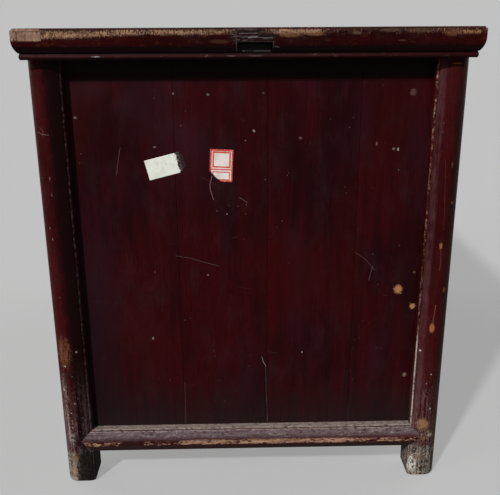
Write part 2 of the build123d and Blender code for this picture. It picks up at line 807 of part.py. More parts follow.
with BuildPart() as floor_bearers:
    for bearer_middle in (-bearer_offset, bearer_offset):
        bearer_x = (bearer_middle - bearer_width / 2, bearer_middle + bearer_width / 2)
        bearer_reach = leg_inner_y + bearer_tenon_length
        block(bearer_x, (-leg_inner_y, leg_inner_y), (foot_height, floor_underside))
        tenon_z = (foot_height + 1 + joint_clearance, floor_underside - joint_clearance)
        block(bearer_x, (-bearer_reach, bearer_reach), tenon_z)

# The top: boards from front to back, in the frame's groove, on one long batten.
top_plane = Plane(origin=(0, 0, cabinet_height), x_dir=(1, 0, 0), z_dir=(0, 0, 1))
opening_x = top_length / 2 - top_rail_width
opening_y = top_depth / 2 - top_rail_width
board_reach_x = opening_x + top_tongue_length
board_reach_y = opening_y + top_tongue_length
top_seams = seams_between(-board_reach_x, board_reach_x, top_board_count)
batten_bed = board_underside + top_batten_dovetail


def top_batten_tail(clearance):
    """The corners of the long batten's dovetail, as y and z."""
    neck = about_batten(top_batten_neck / 2 + clearance)
    head = about_batten(top_batten_head / 2 + clearance)
    return [
        (neck[0], board_underside - clearance),
        (head[0], batten_bed + clearance),
        (head[1], batten_bed + clearance),
        (neck[1], board_underside - clearance),
    ]


with BuildPart() as top_boards:
    for number in range(top_board_count):
        with BuildPart(mode=Mode.PRIVATE) as top_board:
            whole_depth = (top_board_setback, top_board_setback + top_board_thickness)
            board(top_plane, top_seams, number, (-board_reach_y, board_reach_y), whole_depth)
            for waste in ((-1, top_tongue_drop), (top_tongue_drop + top_tongue_thickness, cut)):
                for way in (-1, 1):
                    x_waste = (way * (opening_x - board_gap), way * (opening_x + cut))
                    y_waste = (way * (opening_y - board_gap), way * (opening_y + cut))
                    z_waste = (cabinet_height - waste[0], cabinet_height - waste[1])
                    block(x_waste, (-top_depth, top_depth), z_waste, Mode.SUBTRACT)
                    block((-top_length, top_length), y_waste, z_waste, Mode.SUBTRACT)
            with BuildSketch(Plane.YZ.offset(-top_length / 2)) as tail_bed:
                Polygon(*top_batten_tail(joint_clearance), align=None)
            extrude(tail_bed.sketch, amount=top_length, mode=Mode.SUBTRACT)
        add(top_board.part)

with BuildPart() as top_batten:
    block(
        (-opening_x, opening_x),
        about_batten(top_batten_width / 2),
        (batten_tenon_up[0], board_underside),
    )
    with BuildSketch(Plane.YZ.offset(-opening_x + end_clearance)) as tail:
        Polygon(*top_batten_tail(0), align=None)
    extrude(tail.sketch, amount=2 * (opening_x - end_clearance))
    tenon_end = top_length / 2 - top_batten_tenon_setback
    block((-tenon_end, tenon_end), about_batten(batten_tenon_half), batten_tenon_up)

# ================================================================ drawer runners
with BuildPart() as drawer_runners:
    for runner_middle, width in runner_places():
        runner_x = (runner_middle - width / 2, runner_middle + width / 2)
        block(runner_x, (-leg_inner_y, leg_inner_y), (mid_rail_top - runner_height, mid_rail_top))
        runner_reach = leg_inner_y + runner_tenon_length
        block(runner_x, (-runner_reach, runner_reach), runner_tenon_rise)

guide_half = divider_width / 2 - joint_clearance
with BuildPart() as drawer_guide:
    guide_x = (-guide_half, guide_half)
    block(guide_x, (-leg_inner_y, leg_inner_y), (mid_rail_top, mid_rail_top + guide_height))


# ================================================================ brass
def post(x, face_y, z, wood_thickness, eye_bore):
    """An eye on a shank that goes through the wood and is bent over behind it."""
    eye_y = face_y - post_reach
    tail_y = face_y + wood_thickness
    half_width = post_thickness / 2
    with BuildSketch(Plane.YZ.offset(x - half_width)) as eye:
        with Locations((eye_y, z)):
            Circle(post_radius)
            Circle(eye_bore, mode=Mode.SUBTRACT)
    extrude(eye.sketch, amount=post_thickness)
    shank_z = (z - post_shank_height / 2, z + post_shank_height / 2)
    shank_start = eye_y + post_radius - 1
    block((x - half_width, x + half_width), (shank_start, tail_y + post_tail_thickness), shank_z)
    tail_z = (z - post_tail_length / 2, z + post_tail_length / 2)
    block((x - half_width, x + half_width), (tail_y, tail_y + post_tail_thickness), tail_z)


def post_hole(x, face_y, z, wood_thickness):
    """The hole for a post's shank, through a plate and the wood behind it."""
    half_width = post_thickness / 2 + shank_clearance
    half_height = post_shank_height / 2 + shank_clearance
    y_span = (face_y - plate_thickness - 1, face_y + wood_thickness + 1)
    block((x - half_width, x + half_width), y_span, (z - half_height, z + half_height), Mode.SUBTRACT)


# ================================================================ drawers
face_y = -leg_outer_y + front_setback
front_back_y = face_y + front_thickness
drawer_low = mid_rail_top + slide_clearance
drawer_high = top_underside - drawer_top_gap
drawer_inner = divider_width / 2 + drawer_side_gap
drawer_outer = leg_inner_x - drawer_side_gap
drawer_middle = (drawer_inner + drawer_outer) / 2
drawer_end_y = leg_outer_y - panel_inner_depth - end_clearance
side_high = drawer_high - drawer_side_drop
bottom_low = drawer_low + drawer_bottom_rise
bottom_z = (bottom_low, bottom_low + drawer_bottom_thickness)
bail_z = (drawer_low + drawer_high) / 2 + bail_axis_rise


def side_tails(mode):
    """The dovetails of a drawer side, in the thickness of the drawer front."""
    root = front_back_y
    tip = front_back_y - dovetail_length
    for share in dovetail_places:
        middle = drawer_low + (side_high - drawer_low) * share
        for outer in (drawer_inner, drawer_outer - drawer_side_thickness):
            with BuildSketch(Plane.YZ.offset(outer)) as tail_face:
                Polygon(
                    (root + 1, middle - dovetail_root / 2),
                    (root, middle - dovetail_root / 2),
                    (tip, middle - dovetail_end / 2),
                    (tip, middle + dovetail_end / 2),
                    (root, middle + dovetail_root / 2),
                    (root + 1, middle + dovetail_root / 2),
                    align=None,
                )
            extrude(tail_face.sketch, amount=drawer_side_thickness, mode=mode)


def face_line(x_span, z_span, inset):
    """A scratched line round a face, as a bead at its edge."""
    x_low, x_high = sorted(x_span)
    middle = ((x_low + x_high) / 2, (z_span[0] + z_span[1]) / 2)
    width = x_high - x_low - 2 * inset
    height = z_span[1] - z_span[0] - 2 * inset
    bed = Plane(origin=(0, face_y + face_line_depth, 0), x_dir=(1, 0, 0), z_dir=(0, -1, 0))
    with BuildSketch(bed) as ring:
        with Locations(middle):
            Rectangle(width, height)
            inner_width = width - 2 * face_line_width
            inner_height = height - 2 * face_line_width
            Rectangle(inner_width, inner_height, mode=Mode.SUBTRACT)
    extrude(ring.sketch, amount=face_line_depth + 1, mode=Mode.SUBTRACT)


def place_drawer(piece, side):
    """Put a drawer piece in the right opening, or mirror it into the left one."""
    if side < 0:
        with BuildPart() as mirrored:
            mirror(piece.part, about=Plane.YZ)
        return mirrored
    return piece


def drawer_pieces():
    """The pieces of the right-hand drawer, by name."""
    across = (drawer_inner, drawer_outer)
    middle = drawer_middle
    posts = [middle - bail_post_offset, middle + bail_post_offset]

    with BuildPart() as face_board:
        block(across, (face_y, front_back_y), (drawer_low, drawer_high))
        groove = grown(bottom_z, joint_clearance)
        groove_x = (
            drawer_inner + drawer_side_thickness - drawer_groove_depth,
            drawer_outer - drawer_side_thickness + drawer_groove_depth,
        )
        block(groove_x, (front_back_y - drawer_groove_depth, front_back_y + 1), groove, Mode.SUBTRACT)
        side_tails(Mode.SUBTRACT)
        face_line(across, (drawer_low, drawer_high), face_line_inset)
        for x in posts:
            post_hole(x, face_y, bail_z, front_thickness)

    with BuildPart() as sides:
        for low in (drawer_inner, drawer_outer - drawer_side_thickness):
            x_span = (low, low + drawer_side_thickness)
            block(x_span, (front_back_y, drawer_end_y), (drawer_low, side_high))
        side_tails(Mode.ADD)
        y_span = (front_back_y - dovetail_length - 1, drawer_end_y + 1)
        block(groove_x, y_span, groove, Mode.SUBTRACT)

    inner_x = (drawer_inner + drawer_side_thickness, drawer_outer - drawer_side_thickness)
    with BuildPart() as back_board:
        y_span = (drawer_end_y - drawer_side_thickness, drawer_end_y)
        block(inner_x, y_span, (bottom_z[1] + joint_clearance, side_high))

    with BuildPart() as bottom:
        x_span = grown(groove_x, -end_clearance)
        y_span = (front_back_y - drawer_groove_depth + end_clearance, drawer_end_y)
        block(x_span, y_span, bottom_z)

    with BuildPart() as plate:
        plate_face = Plane(origin=(middle, face_y, bail_z), x_dir=(1, 0, 0), z_dir=(0, -1, 0))
        with BuildSketch(plate_face) as outline:
            Rectangle(drawer_plate_length, drawer_plate_height)
            with Locations(*[(a * drawer_plate_length / 2, b * drawer_plate_height / 2)
                             for a in (-1, 1) for b in (-1, 1)]):
                Circle(drawer_plate_notch, mode=Mode.SUBTRACT)
        extrude(outline.sketch, amount=plate_thickness)
        for x in posts:
            post_hole(x, face_y, bail_z, front_thickness)

    with BuildPart() as eye_posts:
        for x in posts:
            post(x, face_y, bail_z, front_thickness, bail_wire + eye_clearance)

    with BuildPart() as bail:
        pin_end = bail_post_offset + post_thickness / 2 + bail_pin_overrun
        corners = [
            (pin_end, 0),
            (bail_arm_offset, 0),
            (bail_arm_offset, -bail_shoulder),
            (bail_arm_offset - bail_shoulder, -bail_drop),
        ]
        corners += [(-x, z) for x, z in reversed(corners)]
        bends = [bail_bend_radius, bail_corner_radius, bail_corner_radius]
        hang = Plane(origin=(middle, face_y - post_reach, bail_z), x_dir=(1, 0, 0), z_dir=(0, -1, 0))
        with BuildLine(hang) as wire:
            FilletPolyline(*corners, radius=bends + bends[::-1])
        with BuildSketch(Plane(origin=wire.line @ 0, z_dir=wire.line % 0)) as wire_section:
            Circle(bail_wire)
        sweep(wire_section.sketch, path=wire.line)

    return {
        "front": face_board,
        "sides": sides,
        "back": back_board,
        "bottom": bottom,
        "pull_plate": plate,
        "pull_posts": eye_posts,
        "bail": bail,
    }


# ================================================================ doors
door_low = bottom_rail_top + door_end_gap
door_high = mid_rail_bottom - door_end_gap
door_middle_z = (door_low + door_high) / 2
hinge_x = leg_inner_x - door_gap
inner_x = door_meeting_gap
hinge_axis_x = hinge_x - front_thickness / 2
door_panel_x = (
    inner_x + door_stile_width - door_groove_depth,
    hinge_x - door_stile_width + door_groove_depth,
)
door_panel_z = (
    door_low + door_rail_width - door_groove_depth,
    door_high - door_rail_width + door_groove_depth,
)
door_panel_y = (
    face_y + door_panel_setback,
    face_y + door_panel_setback + door_panel_thickness,
)


def door_blank():
    """The whole door's outline, rounded along its pivot edge."""
    with BuildSketch(Plane.XY.offset(door_low)) as plan:
        middle_y = (face_y + front_back_y) / 2
        with Locations(((inner_x + hinge_axis_x) / 2, middle_y)):
            Rectangle(hinge_axis_x - inner_x, front_thickness)
        with Locations((hinge_axis_x, middle_y)):
            Circle(front_thickness / 2)
    extrude(plan.sketch, amount=door_high - door_low)


def door_member(corners):
    """Keep one mitred member of the door's frame, and groove it for the panel."""
    door_blank()
    with BuildSketch(Plane(origin=(0, -leg_outer_y, 0), x_dir=(1, 0, 0), z_dir=(0, -1, 0))) as face:
        Polygon(*corners, align=None)
    extrude(face.sketch, amount=leg_outer_y, both=True, mode=Mode.INTERSECT)
    block(
        grown(door_panel_x, end_clearance),
        grown(door_panel_y, joint_clearance),
        grown(door_panel_z, end_clearance),
        Mode.SUBTRACT,
    )
    inner_edge = door_stile_width - face_line_inset
    face_line((inner_x, hinge_x), (door_low, door_high), inner_edge)


def door_tenons(clearance, mode):
    """The tenons of the door's rails, hidden in its stiles."""
    tenon_y = ((face_y + front_back_y) / 2, (face_y + front_back_y) / 2 + door_tenon_thickness)
    for z_span in (
        (door_low + door_tenon_inset, door_low + door_tenon_inset + door_tenon_width),
        (door_high - door_tenon_inset - door_tenon_width, door_high - door_tenon_inset),
    ):
        x_span = (inner_x + door_tenon_inset, hinge_x - door_tenon_inset - front_thickness / 2)
        block(
            grown(x_span, clearance),
            grown(tenon_y, clearance),
            grown(z_span, clearance),
            mode,
        )


def door_pieces():
    """The pieces of the right-hand door, by name."""
    stile, rail = door_stile_width, door_rail_width
    eye_x = inner_x + lock_eye_offset
    ring_x = inner_x + ring_offset
    fixings = ((eye_x, lock_eye_bore), (ring_x, ring_wire + eye_clearance))

    with BuildPart() as pivot_stile:
        door_member([
            (hinge_x, door_low),
            (hinge_x, door_high),
            (hinge_x - front_thickness, door_high),
            (hinge_x - stile, door_high - rail),
            (hinge_x - stile, door_low + rail),
            (hinge_x - front_thickness, door_low),
        ])
        door_tenons(joint_clearance, Mode.SUBTRACT)
        axis_x, axis_y = door_axis(1)
        with BuildSketch(Plane.XY.offset(door_low - door_end_gap - lower_pivot_length)) as pivot:
            with Locations((axis_x, axis_y)):
                Circle(pivot_radius)
        pivot_rise = lower_pivot_length + door_end_gap + 1
        extrude(pivot.sketch, amount=pivot_rise)
        with BuildSketch(Plane.XY.offset(door_high - 1)) as upper_pivot:
            with Locations((axis_x, axis_y)):
                Circle(pivot_radius)
        extrude(upper_pivot.sketch, amount=upper_pivot_length + door_end_gap + 1)

    with BuildPart() as meeting_stile:
        door_member([
            (inner_x, door_low),
            (inner_x, door_high),
            (inner_x + stile, door_high - rail),
            (inner_x + stile, door_low + rail),
        ])
        door_tenons(joint_clearance, Mode.SUBTRACT)
        for x, _ in fixings:
            post_hole(x, face_y, door_middle_z, front_thickness)

    with BuildPart() as rails:
        for z_edge, way in ((door_low, 1), (door_high, -1)):
            with BuildPart(mode=Mode.PRIVATE) as one_rail:
                door_member([
                    (inner_x, z_edge),
                    (hinge_x - front_thickness, z_edge),
                    (hinge_x - stile, z_edge + way * rail),
                    (inner_x + stile, z_edge + way * rail),
                ])
            add(one_rail.part)
        door_tenons(0, Mode.ADD)

    with BuildPart() as panel:
        block(door_panel_x, door_panel_y, door_panel_z)

    plate_face = Plane(origin=(0, face_y, door_middle_z), x_dir=(1, 0, 0), z_dir=(0, -1, 0))
    with BuildPart() as plate:
        with BuildSketch(plate_face) as outline:
            Circle(plate_radius)
            with Locations((inner_x - plate_radius, 0)):
                Rectangle(2 * plate_radius, 2 * plate_radius, mode=Mode.SUBTRACT)
        extrude(outline.sketch, amount=plate_thickness)
        for x, _ in fixings:
            post_hole(x, face_y, door_middle_z, front_thickness)

    with BuildPart() as eyes:
        for x, bore in fixings:
            post(x, face_y, door_middle_z, front_thickness, bore)

    with BuildPart() as ring:
        ring_y = face_y - post_reach
        with Locations(Location((ring_x, ring_y, door_middle_z - ring_radius), (90, 0, 0))):
            Torus(ring_radius, ring_wire)

    return {
        "pivot_stile": pivot_stile,
        "meeting_stile": meeting_stile,
        "rails": rails,
        "panel": panel,
        "lock_plate": plate,
        "eyes": eyes,
        "ring": ring,
    }


# ================================================================ paper labels
def label(width, height, place, turn):
    """A thin paper label on the face of the right-hand end."""
    panel_face = right.offset(-panel_setback)
    with BuildSketch(panel_face) as paper:
        with Locations(Location((place[0], place[1], 0), (0, 0, turn))):
            Rectangle(width, height)
    extrude(paper.sketch, amount=label_thickness)


with BuildPart() as white_label:
    label(label_long, label_short, white_label_place, white_label_turn)

with BuildPart() as red_label:
    label(label_short, label_long, red_label_place, red_label_turn)

# ================================================================ write every piece
os.makedirs("parts", exist_ok=True)

for x_side, x_name in ((-1, "left"), (1, "right")):
    for y_side, y_name in ((-1, "front"), (1, "back")):
        save(make_leg(x_side, y_side), f"leg_{y_name}_{x_name}")

save(top_front_rail, "top_front_rail")
save(top_back_rail, "top_back_rail")
save(short_top_rail(top_left), "top_left_rail")
save(short_top_rail(top_right), "top_right_rail")
save(top_boards, "top_boards")
save(top_batten, "top_batten")

save(bottom_front_rail, "bottom_front_rail")
save(bottom_back_rail, "bottom_back_rail")
save(end_rail(left), "bottom_left_rail")
save(end_rail(right), "bottom_right_rail")
save(front_mid_rail, "front_mid_rail")
save(back_mid_rail, "back_mid_rail")
save(drawer_divider, "drawer_divider")

for number in range(end_board_count):
    with BuildPart() as right_board:
        end_board(right, end_seams, number)
    save(right_board, f"right_end_board_{number + 1}")

left_seams = [-seam for seam in reversed(end_seams)]
with BuildPart() as left_end_boards:
    for number in range(end_board_count):
        with BuildPart(mode=Mode.PRIVATE) as left_board:
            end_board(left, left_seams, number)
        add(left_board.part)
save(left_end_boards, "left_end_boards")
save(end_battens, "end_battens")

save(back_upper_board, "back_upper_board")
save(back_lower_boards, "back_lower_boards")
save(back_battens, "back_battens")
save(floor_boards, "floor_boards")
save(floor_bearers, "floor_bearers")
save(drawer_runners, "drawer_runners")
save(drawer_guide, "drawer_guide")

for side, side_name in ((-1, "left"), (1, "right")):
    for piece_name, piece in drawer_pieces().items():
        save(place_drawer(piece, side), f"drawer_{side_name}_{piece_name}")
    for piece_name, piece in door_pieces().items():
        save(place_drawer(piece, side), f"door_{side_name}_{piece_name}")

save(white_label, "white_label")
save(red_label, "red_label")
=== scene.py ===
import math
from functools import reduce

import bpy
from mathutils import Matrix, Vector, noise


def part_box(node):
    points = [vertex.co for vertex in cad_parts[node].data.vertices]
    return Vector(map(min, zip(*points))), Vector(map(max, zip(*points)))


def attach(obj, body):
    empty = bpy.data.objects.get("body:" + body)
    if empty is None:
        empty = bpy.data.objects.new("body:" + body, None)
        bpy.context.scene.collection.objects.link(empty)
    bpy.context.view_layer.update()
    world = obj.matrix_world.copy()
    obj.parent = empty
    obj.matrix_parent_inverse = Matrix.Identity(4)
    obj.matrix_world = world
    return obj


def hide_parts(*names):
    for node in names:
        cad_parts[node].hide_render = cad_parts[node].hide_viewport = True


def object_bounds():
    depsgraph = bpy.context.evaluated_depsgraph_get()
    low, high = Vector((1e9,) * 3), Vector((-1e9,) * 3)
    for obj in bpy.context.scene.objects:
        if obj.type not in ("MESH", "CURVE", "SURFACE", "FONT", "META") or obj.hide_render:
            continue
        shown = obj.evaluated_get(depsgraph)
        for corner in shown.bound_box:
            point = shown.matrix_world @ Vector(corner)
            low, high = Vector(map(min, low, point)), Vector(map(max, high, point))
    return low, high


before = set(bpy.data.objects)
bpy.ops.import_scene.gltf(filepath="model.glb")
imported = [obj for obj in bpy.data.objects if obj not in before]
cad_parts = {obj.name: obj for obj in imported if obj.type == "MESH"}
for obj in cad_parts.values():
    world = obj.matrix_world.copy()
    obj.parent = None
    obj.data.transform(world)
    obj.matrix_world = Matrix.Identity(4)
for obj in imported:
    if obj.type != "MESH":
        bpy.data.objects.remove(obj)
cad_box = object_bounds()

# Kang cabinet: aged burgundy lacquer, worn to bare wood along its arrises. Metres, +Z up, the doors face -Y.

TOP = cad_box[1].z
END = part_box("right_end_board_1")[1].x  # the outer face of the boards of the right-hand end
PANEL_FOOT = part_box("bottom_right_rail")[1].z
RAIL_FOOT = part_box("bottom_right_rail")[0].z
MM = 0.001  # the tables of marks are in mm
SUNK_SIZE = 2  # in mm: spots with a half height over this are sunk into the surface
BLUR = 0.0006  # half the width over which a bare patch's outline fades


def new_object(name, data):
    thing = bpy.data.objects.new(name, data)
    bpy.context.scene.collection.objects.link(thing)
    return thing


def empty_tree(owner):
    """The nodes and the links of a material or a world, with nothing in them."""
    owner.use_nodes = True
    owner.node_tree.nodes.clear()
    return owner.node_tree.nodes, owner.node_tree.links


# ---------------------------------------------------------------- camera
CAMERA_PLACE = (1.1452, -0.0175, 0.568)
CAMERA_YAW, CAMERA_PITCH, CAMERA_ROLL = (math.radians(a) for a in (-1.231, 17.933, -0.312))
CAMERA_LENS, CAMERA_SENSOR = 49.01, 36.0  # mm


def make_camera():
    level = math.cos(CAMERA_PITCH)
    forward = Vector((-math.cos(CAMERA_YAW) * level, -math.sin(CAMERA_YAW) * level, -math.sin(CAMERA_PITCH)))
    across = forward.cross(Vector((0, 0, 1))).normalized()
    above = across.cross(forward)
    turn, tip = math.cos(CAMERA_ROLL), math.sin(CAMERA_ROLL)
    right, up = turn * across + tip * above, turn * above - tip * across
    data = bpy.data.cameras.new("camera")
    data.lens, data.sensor_width = CAMERA_LENS, CAMERA_SENSOR
    camera = new_object("camera", data)
    camera.matrix_world = Matrix.Translation(CAMERA_PLACE) @ Matrix((right, up, -forward)).transposed().to_4x4()
    bpy.context.scene.camera = camera


# ---------------------------------------------------------------- node trees
SOFTENING = 0.0007  # the radius to which every arris is shaded


class Surface:
    """A material, built from calls that return sockets."""

    def __init__(self, name):
        self.material = bpy.data.materials.new(name)
        self.nodes, self.links = empty_tree(self.material)
        self.place = self.add("TexCoord").outputs["Object"]
        split = self.add("SeparateXYZ", {0: self.place})
        self.x, self.y, self.z = split.outputs
        self.geometry = self.add("NewGeometry")
        facing = self.add("SeparateXYZ", {0: self.geometry.outputs["Normal"]})
        self.facing_x, self.facing_y, self.facing_z = facing.outputs
        self.colour = None
        self.roughness = 0.5
        self.height = 0.0
        self.unevenness = None

    def uneven(self):
        """A fine noise that roughens the outlines of marks, made once."""
        if self.unevenness is None:
            self.unevenness = self.noise(self.place, 850.0, 4.0, 0.8)
        return self.unevenness

    def add(self, kind, inputs=(), **settings):
        node = self.nodes.new("ShaderNode" + kind)
        for key, value in settings.items():
            setattr(node, key, value)
        for key, value in dict(inputs).items():
            self.put(value, node.inputs[key])
        return node

    def put(self, value, socket):
        """Link a value that is a socket, or set it."""
        if isinstance(value, bpy.types.NodeSocket):
            self.links.new(value, socket)
        else:
            socket.default_value = value

    def math(self, operation, a, b=0.0):
        return self.add("Math", {0: a, 1: b}, operation=operation).outputs[0]

    def plus(self, a, b):
        return self.math("ADD", a, b)

    def minus(self, a, b):
        return self.math("SUBTRACT", a, b)

    def times(self, *factors):
        return reduce(lambda a, b: self.math("MULTIPLY", a, b), factors)

    def larger(self, a, b):
        return self.math("MAXIMUM", a, b)

    def absolute(self, value):
        return self.math("ABSOLUTE", value)

    def weigh(self, *parts):
        """A sum of values, each times its weight."""
        return reduce(self.plus, [self.times(value, weight) for value, weight in parts])

    def jagged(self, value, rough, reach):
        """A value made uneven by a noise, by up to half the reach either way."""
        return self.plus(value, self.times(self.minus(rough, 0.5), reach))

    def vector(self, operation, a, b=(0, 0, 0)):
        node = self.add("VectorMath", {0: a, 1: b}, operation=operation)
        return node.outputs["Value" if operation in ("LENGTH", "DOT_PRODUCT") else "Vector"]

    def step(self, value, low, high, start=0.0, end=1.0):
        """Goes smoothly from start to end as value goes from low to high."""
        node = self.add("MapRange", {0: value, 1: low, 2: high, 3: start, 4: end})
        node.interpolation_type = "SMOOTHSTEP"
        return node.outputs[0]

    def within(self, value, low, high, blur):
        """1 where value is between low and high, with soft ends."""
        return self.times(self.step(value, low - blur, low + blur), self.step(value, high - blur, high + blur, 1, 0))

    def noise(self, where, scale, detail=3.0, roughness=0.5, distortion=0.0):
        shape = {"Scale": scale, "Detail": detail, "Roughness": roughness, "Distortion": distortion}
        return self.add("TexNoise", {"Vector": where, **shape}).outputs[0]

    def grain(self, axis, seed, stretch, *shape):
        """A noise drawn out along the grain."""
        return self.noise(self.along(axis, seed, stretch), *shape)

    def cells(self, where, scale, feature="F1"):
        return self.add("TexVoronoi", {"Vector": where, "Scale": scale}, feature=feature).outputs["Distance"]

    def mix(self, factor, a, b, blend="MIX"):
        node = self.add("Mix", data_type="RGBA", blend_type=blend)
        for index, value in ((0, factor), (6, a), (7, b)):
            self.put((*value, 1) if isinstance(value, tuple) else value, node.inputs[index])
        return node.outputs[2]

    def along(self, axis, seed, stretch):
        """The place, drawn out along the grain."""
        moved = self.vector("ADD", self.place, (seed * 1.37, seed * 0.71, seed * 2.13))
        return self.vector("MULTIPLY", moved, tuple(stretch if a == axis else 1.0 for a in "XYZ"))

    def cover(self, mask, colour, roughness=None, height=0.0):
        """Lay another finish over this one where the mask says: a value, or several to be multiplied."""
        if isinstance(mask, tuple):
            mask = self.times(*mask)
        self.colour = self.mix(mask, self.colour, colour)
        if roughness is not None:
            self.roughen(mask, roughness)
        if height:
            self.height = self.plus(self.height, self.times(mask, height))

    def roughen(self, mask, roughness):
        mixed = self.add("Mix", {0: mask, 2: self.roughness, 3: roughness}, data_type="FLOAT")
        self.roughness = mixed.outputs[0]

    def dull(self, mask):
        """Take the gloss, and most of its unevenness, off where the mask says."""
        self.roughen(mask, self.plus(self.times(self.roughness, 0.25), 0.5))

    def shade(self, strength):
        """Darken or lighten by a factor that varies round 1."""
        grey = self.add("CombineColor", {0: strength, 1: strength, 2: strength}).outputs[0]
        self.colour = self.mix(1.0, self.colour, grey, "MULTIPLY")

    def finish(self, specular, bump, distance=0.0004, metallic=0.0):
        softened = self.add("Bevel", {"Radius": SOFTENING}, samples=4).outputs[0]
        relief = self.add("Bump", {"Strength": bump, "Distance": distance, "Height": self.height, "Normal": softened})
        shader = self.add("BsdfPrincipled", {"Normal": relief.outputs[0], "Metallic": metallic})
        self.put(self.colour, shader.inputs["Base Color"])
        self.put(self.roughness, shader.inputs["Roughness"])
        shader.inputs["Specular IOR Level"].default_value = specular
        self.add("OutputMaterial", {0: shader.outputs[0]})
        return self.material


# ---------------------------------------------------------------- finishes
BARE_PALE = (0.3, 0.165, 0.1)
BARE_DEEP = (0.115, 0.052, 0.03)
DUST = (0.215, 0.17, 0.152)
FILM = (0.03, 0.013, 0.015)
PALE_MARK = (0.19, 0.135, 0.125)
DARK_MARK = (0.003, 0.001, 0.001)
SCRATCH = (0.14, 0.09, 0.085)
SPECK = (0.17, 0.125, 0.115)


def bare_wood(s, axis, seed, pale=BARE_PALE, deep=BARE_DEEP):
    """The colour of bare wood, with its growth lines along the grain."""
    lines = s.grain(axis, seed, 0.04, 520.0, 4.0, 0.6)
    rings = s.math("SINE", s.times(s.grain(axis, seed + 3, 0.06, 22.0, 2.0), 55.0))
    tone = s.weigh((lines, 0.85), (rings, 0.07))
    return s.mix(s.step(tone, 0.25, 0.62), deep, pale)


def edges(s, radius):
    """How near an arris is: 0 on a flat face, 1 on the arris."""
    rounded = s.add("Bevel", {"Radius": radius}, samples=4).outputs[0]
    bend = s.vector("DOT_PRODUCT", rounded, s.geometry.outputs["Normal"])
    return s.step(s.minus(1.0, bend), 0.02, 0.22)


def lacquer(node, axis, seed, deep, warm, wear, film, dust=0.5):
    """Old burgundy lacquer over wood, before its particular marks."""
    s = Surface("lacquer_" + node)
    fine = s.grain(axis, seed, 0.03, 760.0, 4.0, 0.62)
    bands = s.grain(axis, seed + 5, 0.05, 95.0, 3.0)
    mottle = s.grain(axis, seed + 9, 0.6, 9.0, 5.0, 0.6)
    patches = s.grain(axis, seed + 14, 0.5, 38.0, 6.0, 0.68)
    s.colour = s.mix(s.step(s.weigh((mottle, 0.68), (bands, 0.32)), 0.38, 0.6), deep, warm)
    s.shade(s.step(fine, 0.3, 0.7, 0.74, 1.28))
    s.height = s.times(fine, 0.5)
    s.roughness = s.step(patches, 0.35, 0.7, 0.34, 0.6)

    # a dull film, in patches
    s.cover((s.step(patches, 0.46, 0.74), film), FILM, 0.66)

    # a net of fine cracks, drawn out along the grain
    net = s.cells(s.along(axis, seed + 21, 0.3), 230.0, "DISTANCE_TO_EDGE")
    cracked = s.times(s.step(net, 0.0, 0.045, 1, 0), s.step(mottle, 0.42, 0.6))
    s.cover((cracked, 0.5), tuple(c * 0.35 for c in deep), None, -0.6)

    # hair scratches, pale and broken
    upright = s.along(axis, seed + 31, 1.0)
    leaning = s.add("VectorRotate", {"Vector": upright, "Angle": 0.35, "Axis": (1, 1, 0.3)}).outputs[0]
    for number, squeeze in enumerate(((1, 1, 0.05), (0.08, 0.1, 1))):
        ridge = s.noise(s.vector("MULTIPLY", leaning, squeeze), 55.0 + 20 * number, 1.0)
        line = s.step(s.absolute(s.minus(ridge, 0.5)), 0.0, 0.005, 1, 0)
        there = s.step(s.grain(axis, seed + 40 + number, 1.0, 24.0, 2.0), 0.62, 0.74)
        s.cover((line, there, 0.16), SCRATCH, 0.7, -0.4)

    # pale specks, where the lacquer has been knocked or dirt has dried on
    speck = s.step(s.cells(s.along(axis, seed + 50, 0.7), 150.0), 0.115, 0.06)
    sparse = s.step(s.grain(axis, seed + 55, 1.0, 26.0, 3.0), 0.55, 0.68)
    s.cover((speck, sparse, 0.6), SPECK, 0.75, -0.3)

    # dust that lies on what faces up
    lying = s.times(s.step(s.facing_z, 0.35, 0.95), s.step(s.noise(s.place, 60.0, 5.0, 0.65), 0.3, 0.62))
    s.cover((lying, dust), DUST, 0.85)

    # arrises rubbed through to the wood
    if wear:
        rubbed = s.jagged(edges(s, 0.0016), patches, 1.3)
        s.cover((s.step(rubbed, 0.62, 0.92), wear), bare_wood(s, axis, seed), 0.72, -0.3)
    return s


def on_end(s, mask):
    """Keep a mark to what faces the right-hand end."""
    return s.times(mask, s.step(s.facing_x, 0.3, 0.6))


def spot(s, centre, size):
    """A ragged oval on the right-hand end: centre and half sizes, as y and z."""
    away = s.vector("SUBTRACT", s.place, (0, *centre))
    scaled = s.vector("MULTIPLY", away, (0, 1 / size[0], 1 / size[1]))
    outline = s.jagged(s.vector("LENGTH", scaled), s.uneven(), 2.7)
    return on_end(s, s.step(outline, 1.1, 0.75))


def line_between(s, start, end, width):
    """A thin line on the right-hand end, between two places given as y and z."""
    run = (end[0] - start[0], end[1] - start[1])
    square = run[0] ** 2 + run[1] ** 2
    flat = s.vector("MULTIPLY", s.vector("SUBTRACT", s.place, (0, *start)), (0, 1, 1))
    along = s.vector("DOT_PRODUCT", flat, (0, run[0] / square, run[1] / square))
    share = s.add("Math", {0: along, 1: 1.0}, operation="MULTIPLY", use_clamp=True).outputs[0]
    nearest = s.add("VectorMath", {0: (0, *run), 3: share}, operation="SCALE").outputs[0]
    distance = s.vector("LENGTH", s.vector("SUBTRACT", flat, nearest))
    return on_end(s, s.step(s.jagged(distance, s.uneven(), width * 2.5), width, width * 0.3))


def placed(pair, level=0.0):
    """A place on the end in metres, from one in mm with its height taken from a level."""
    return pair[0] * MM, level + pair[1] * MM


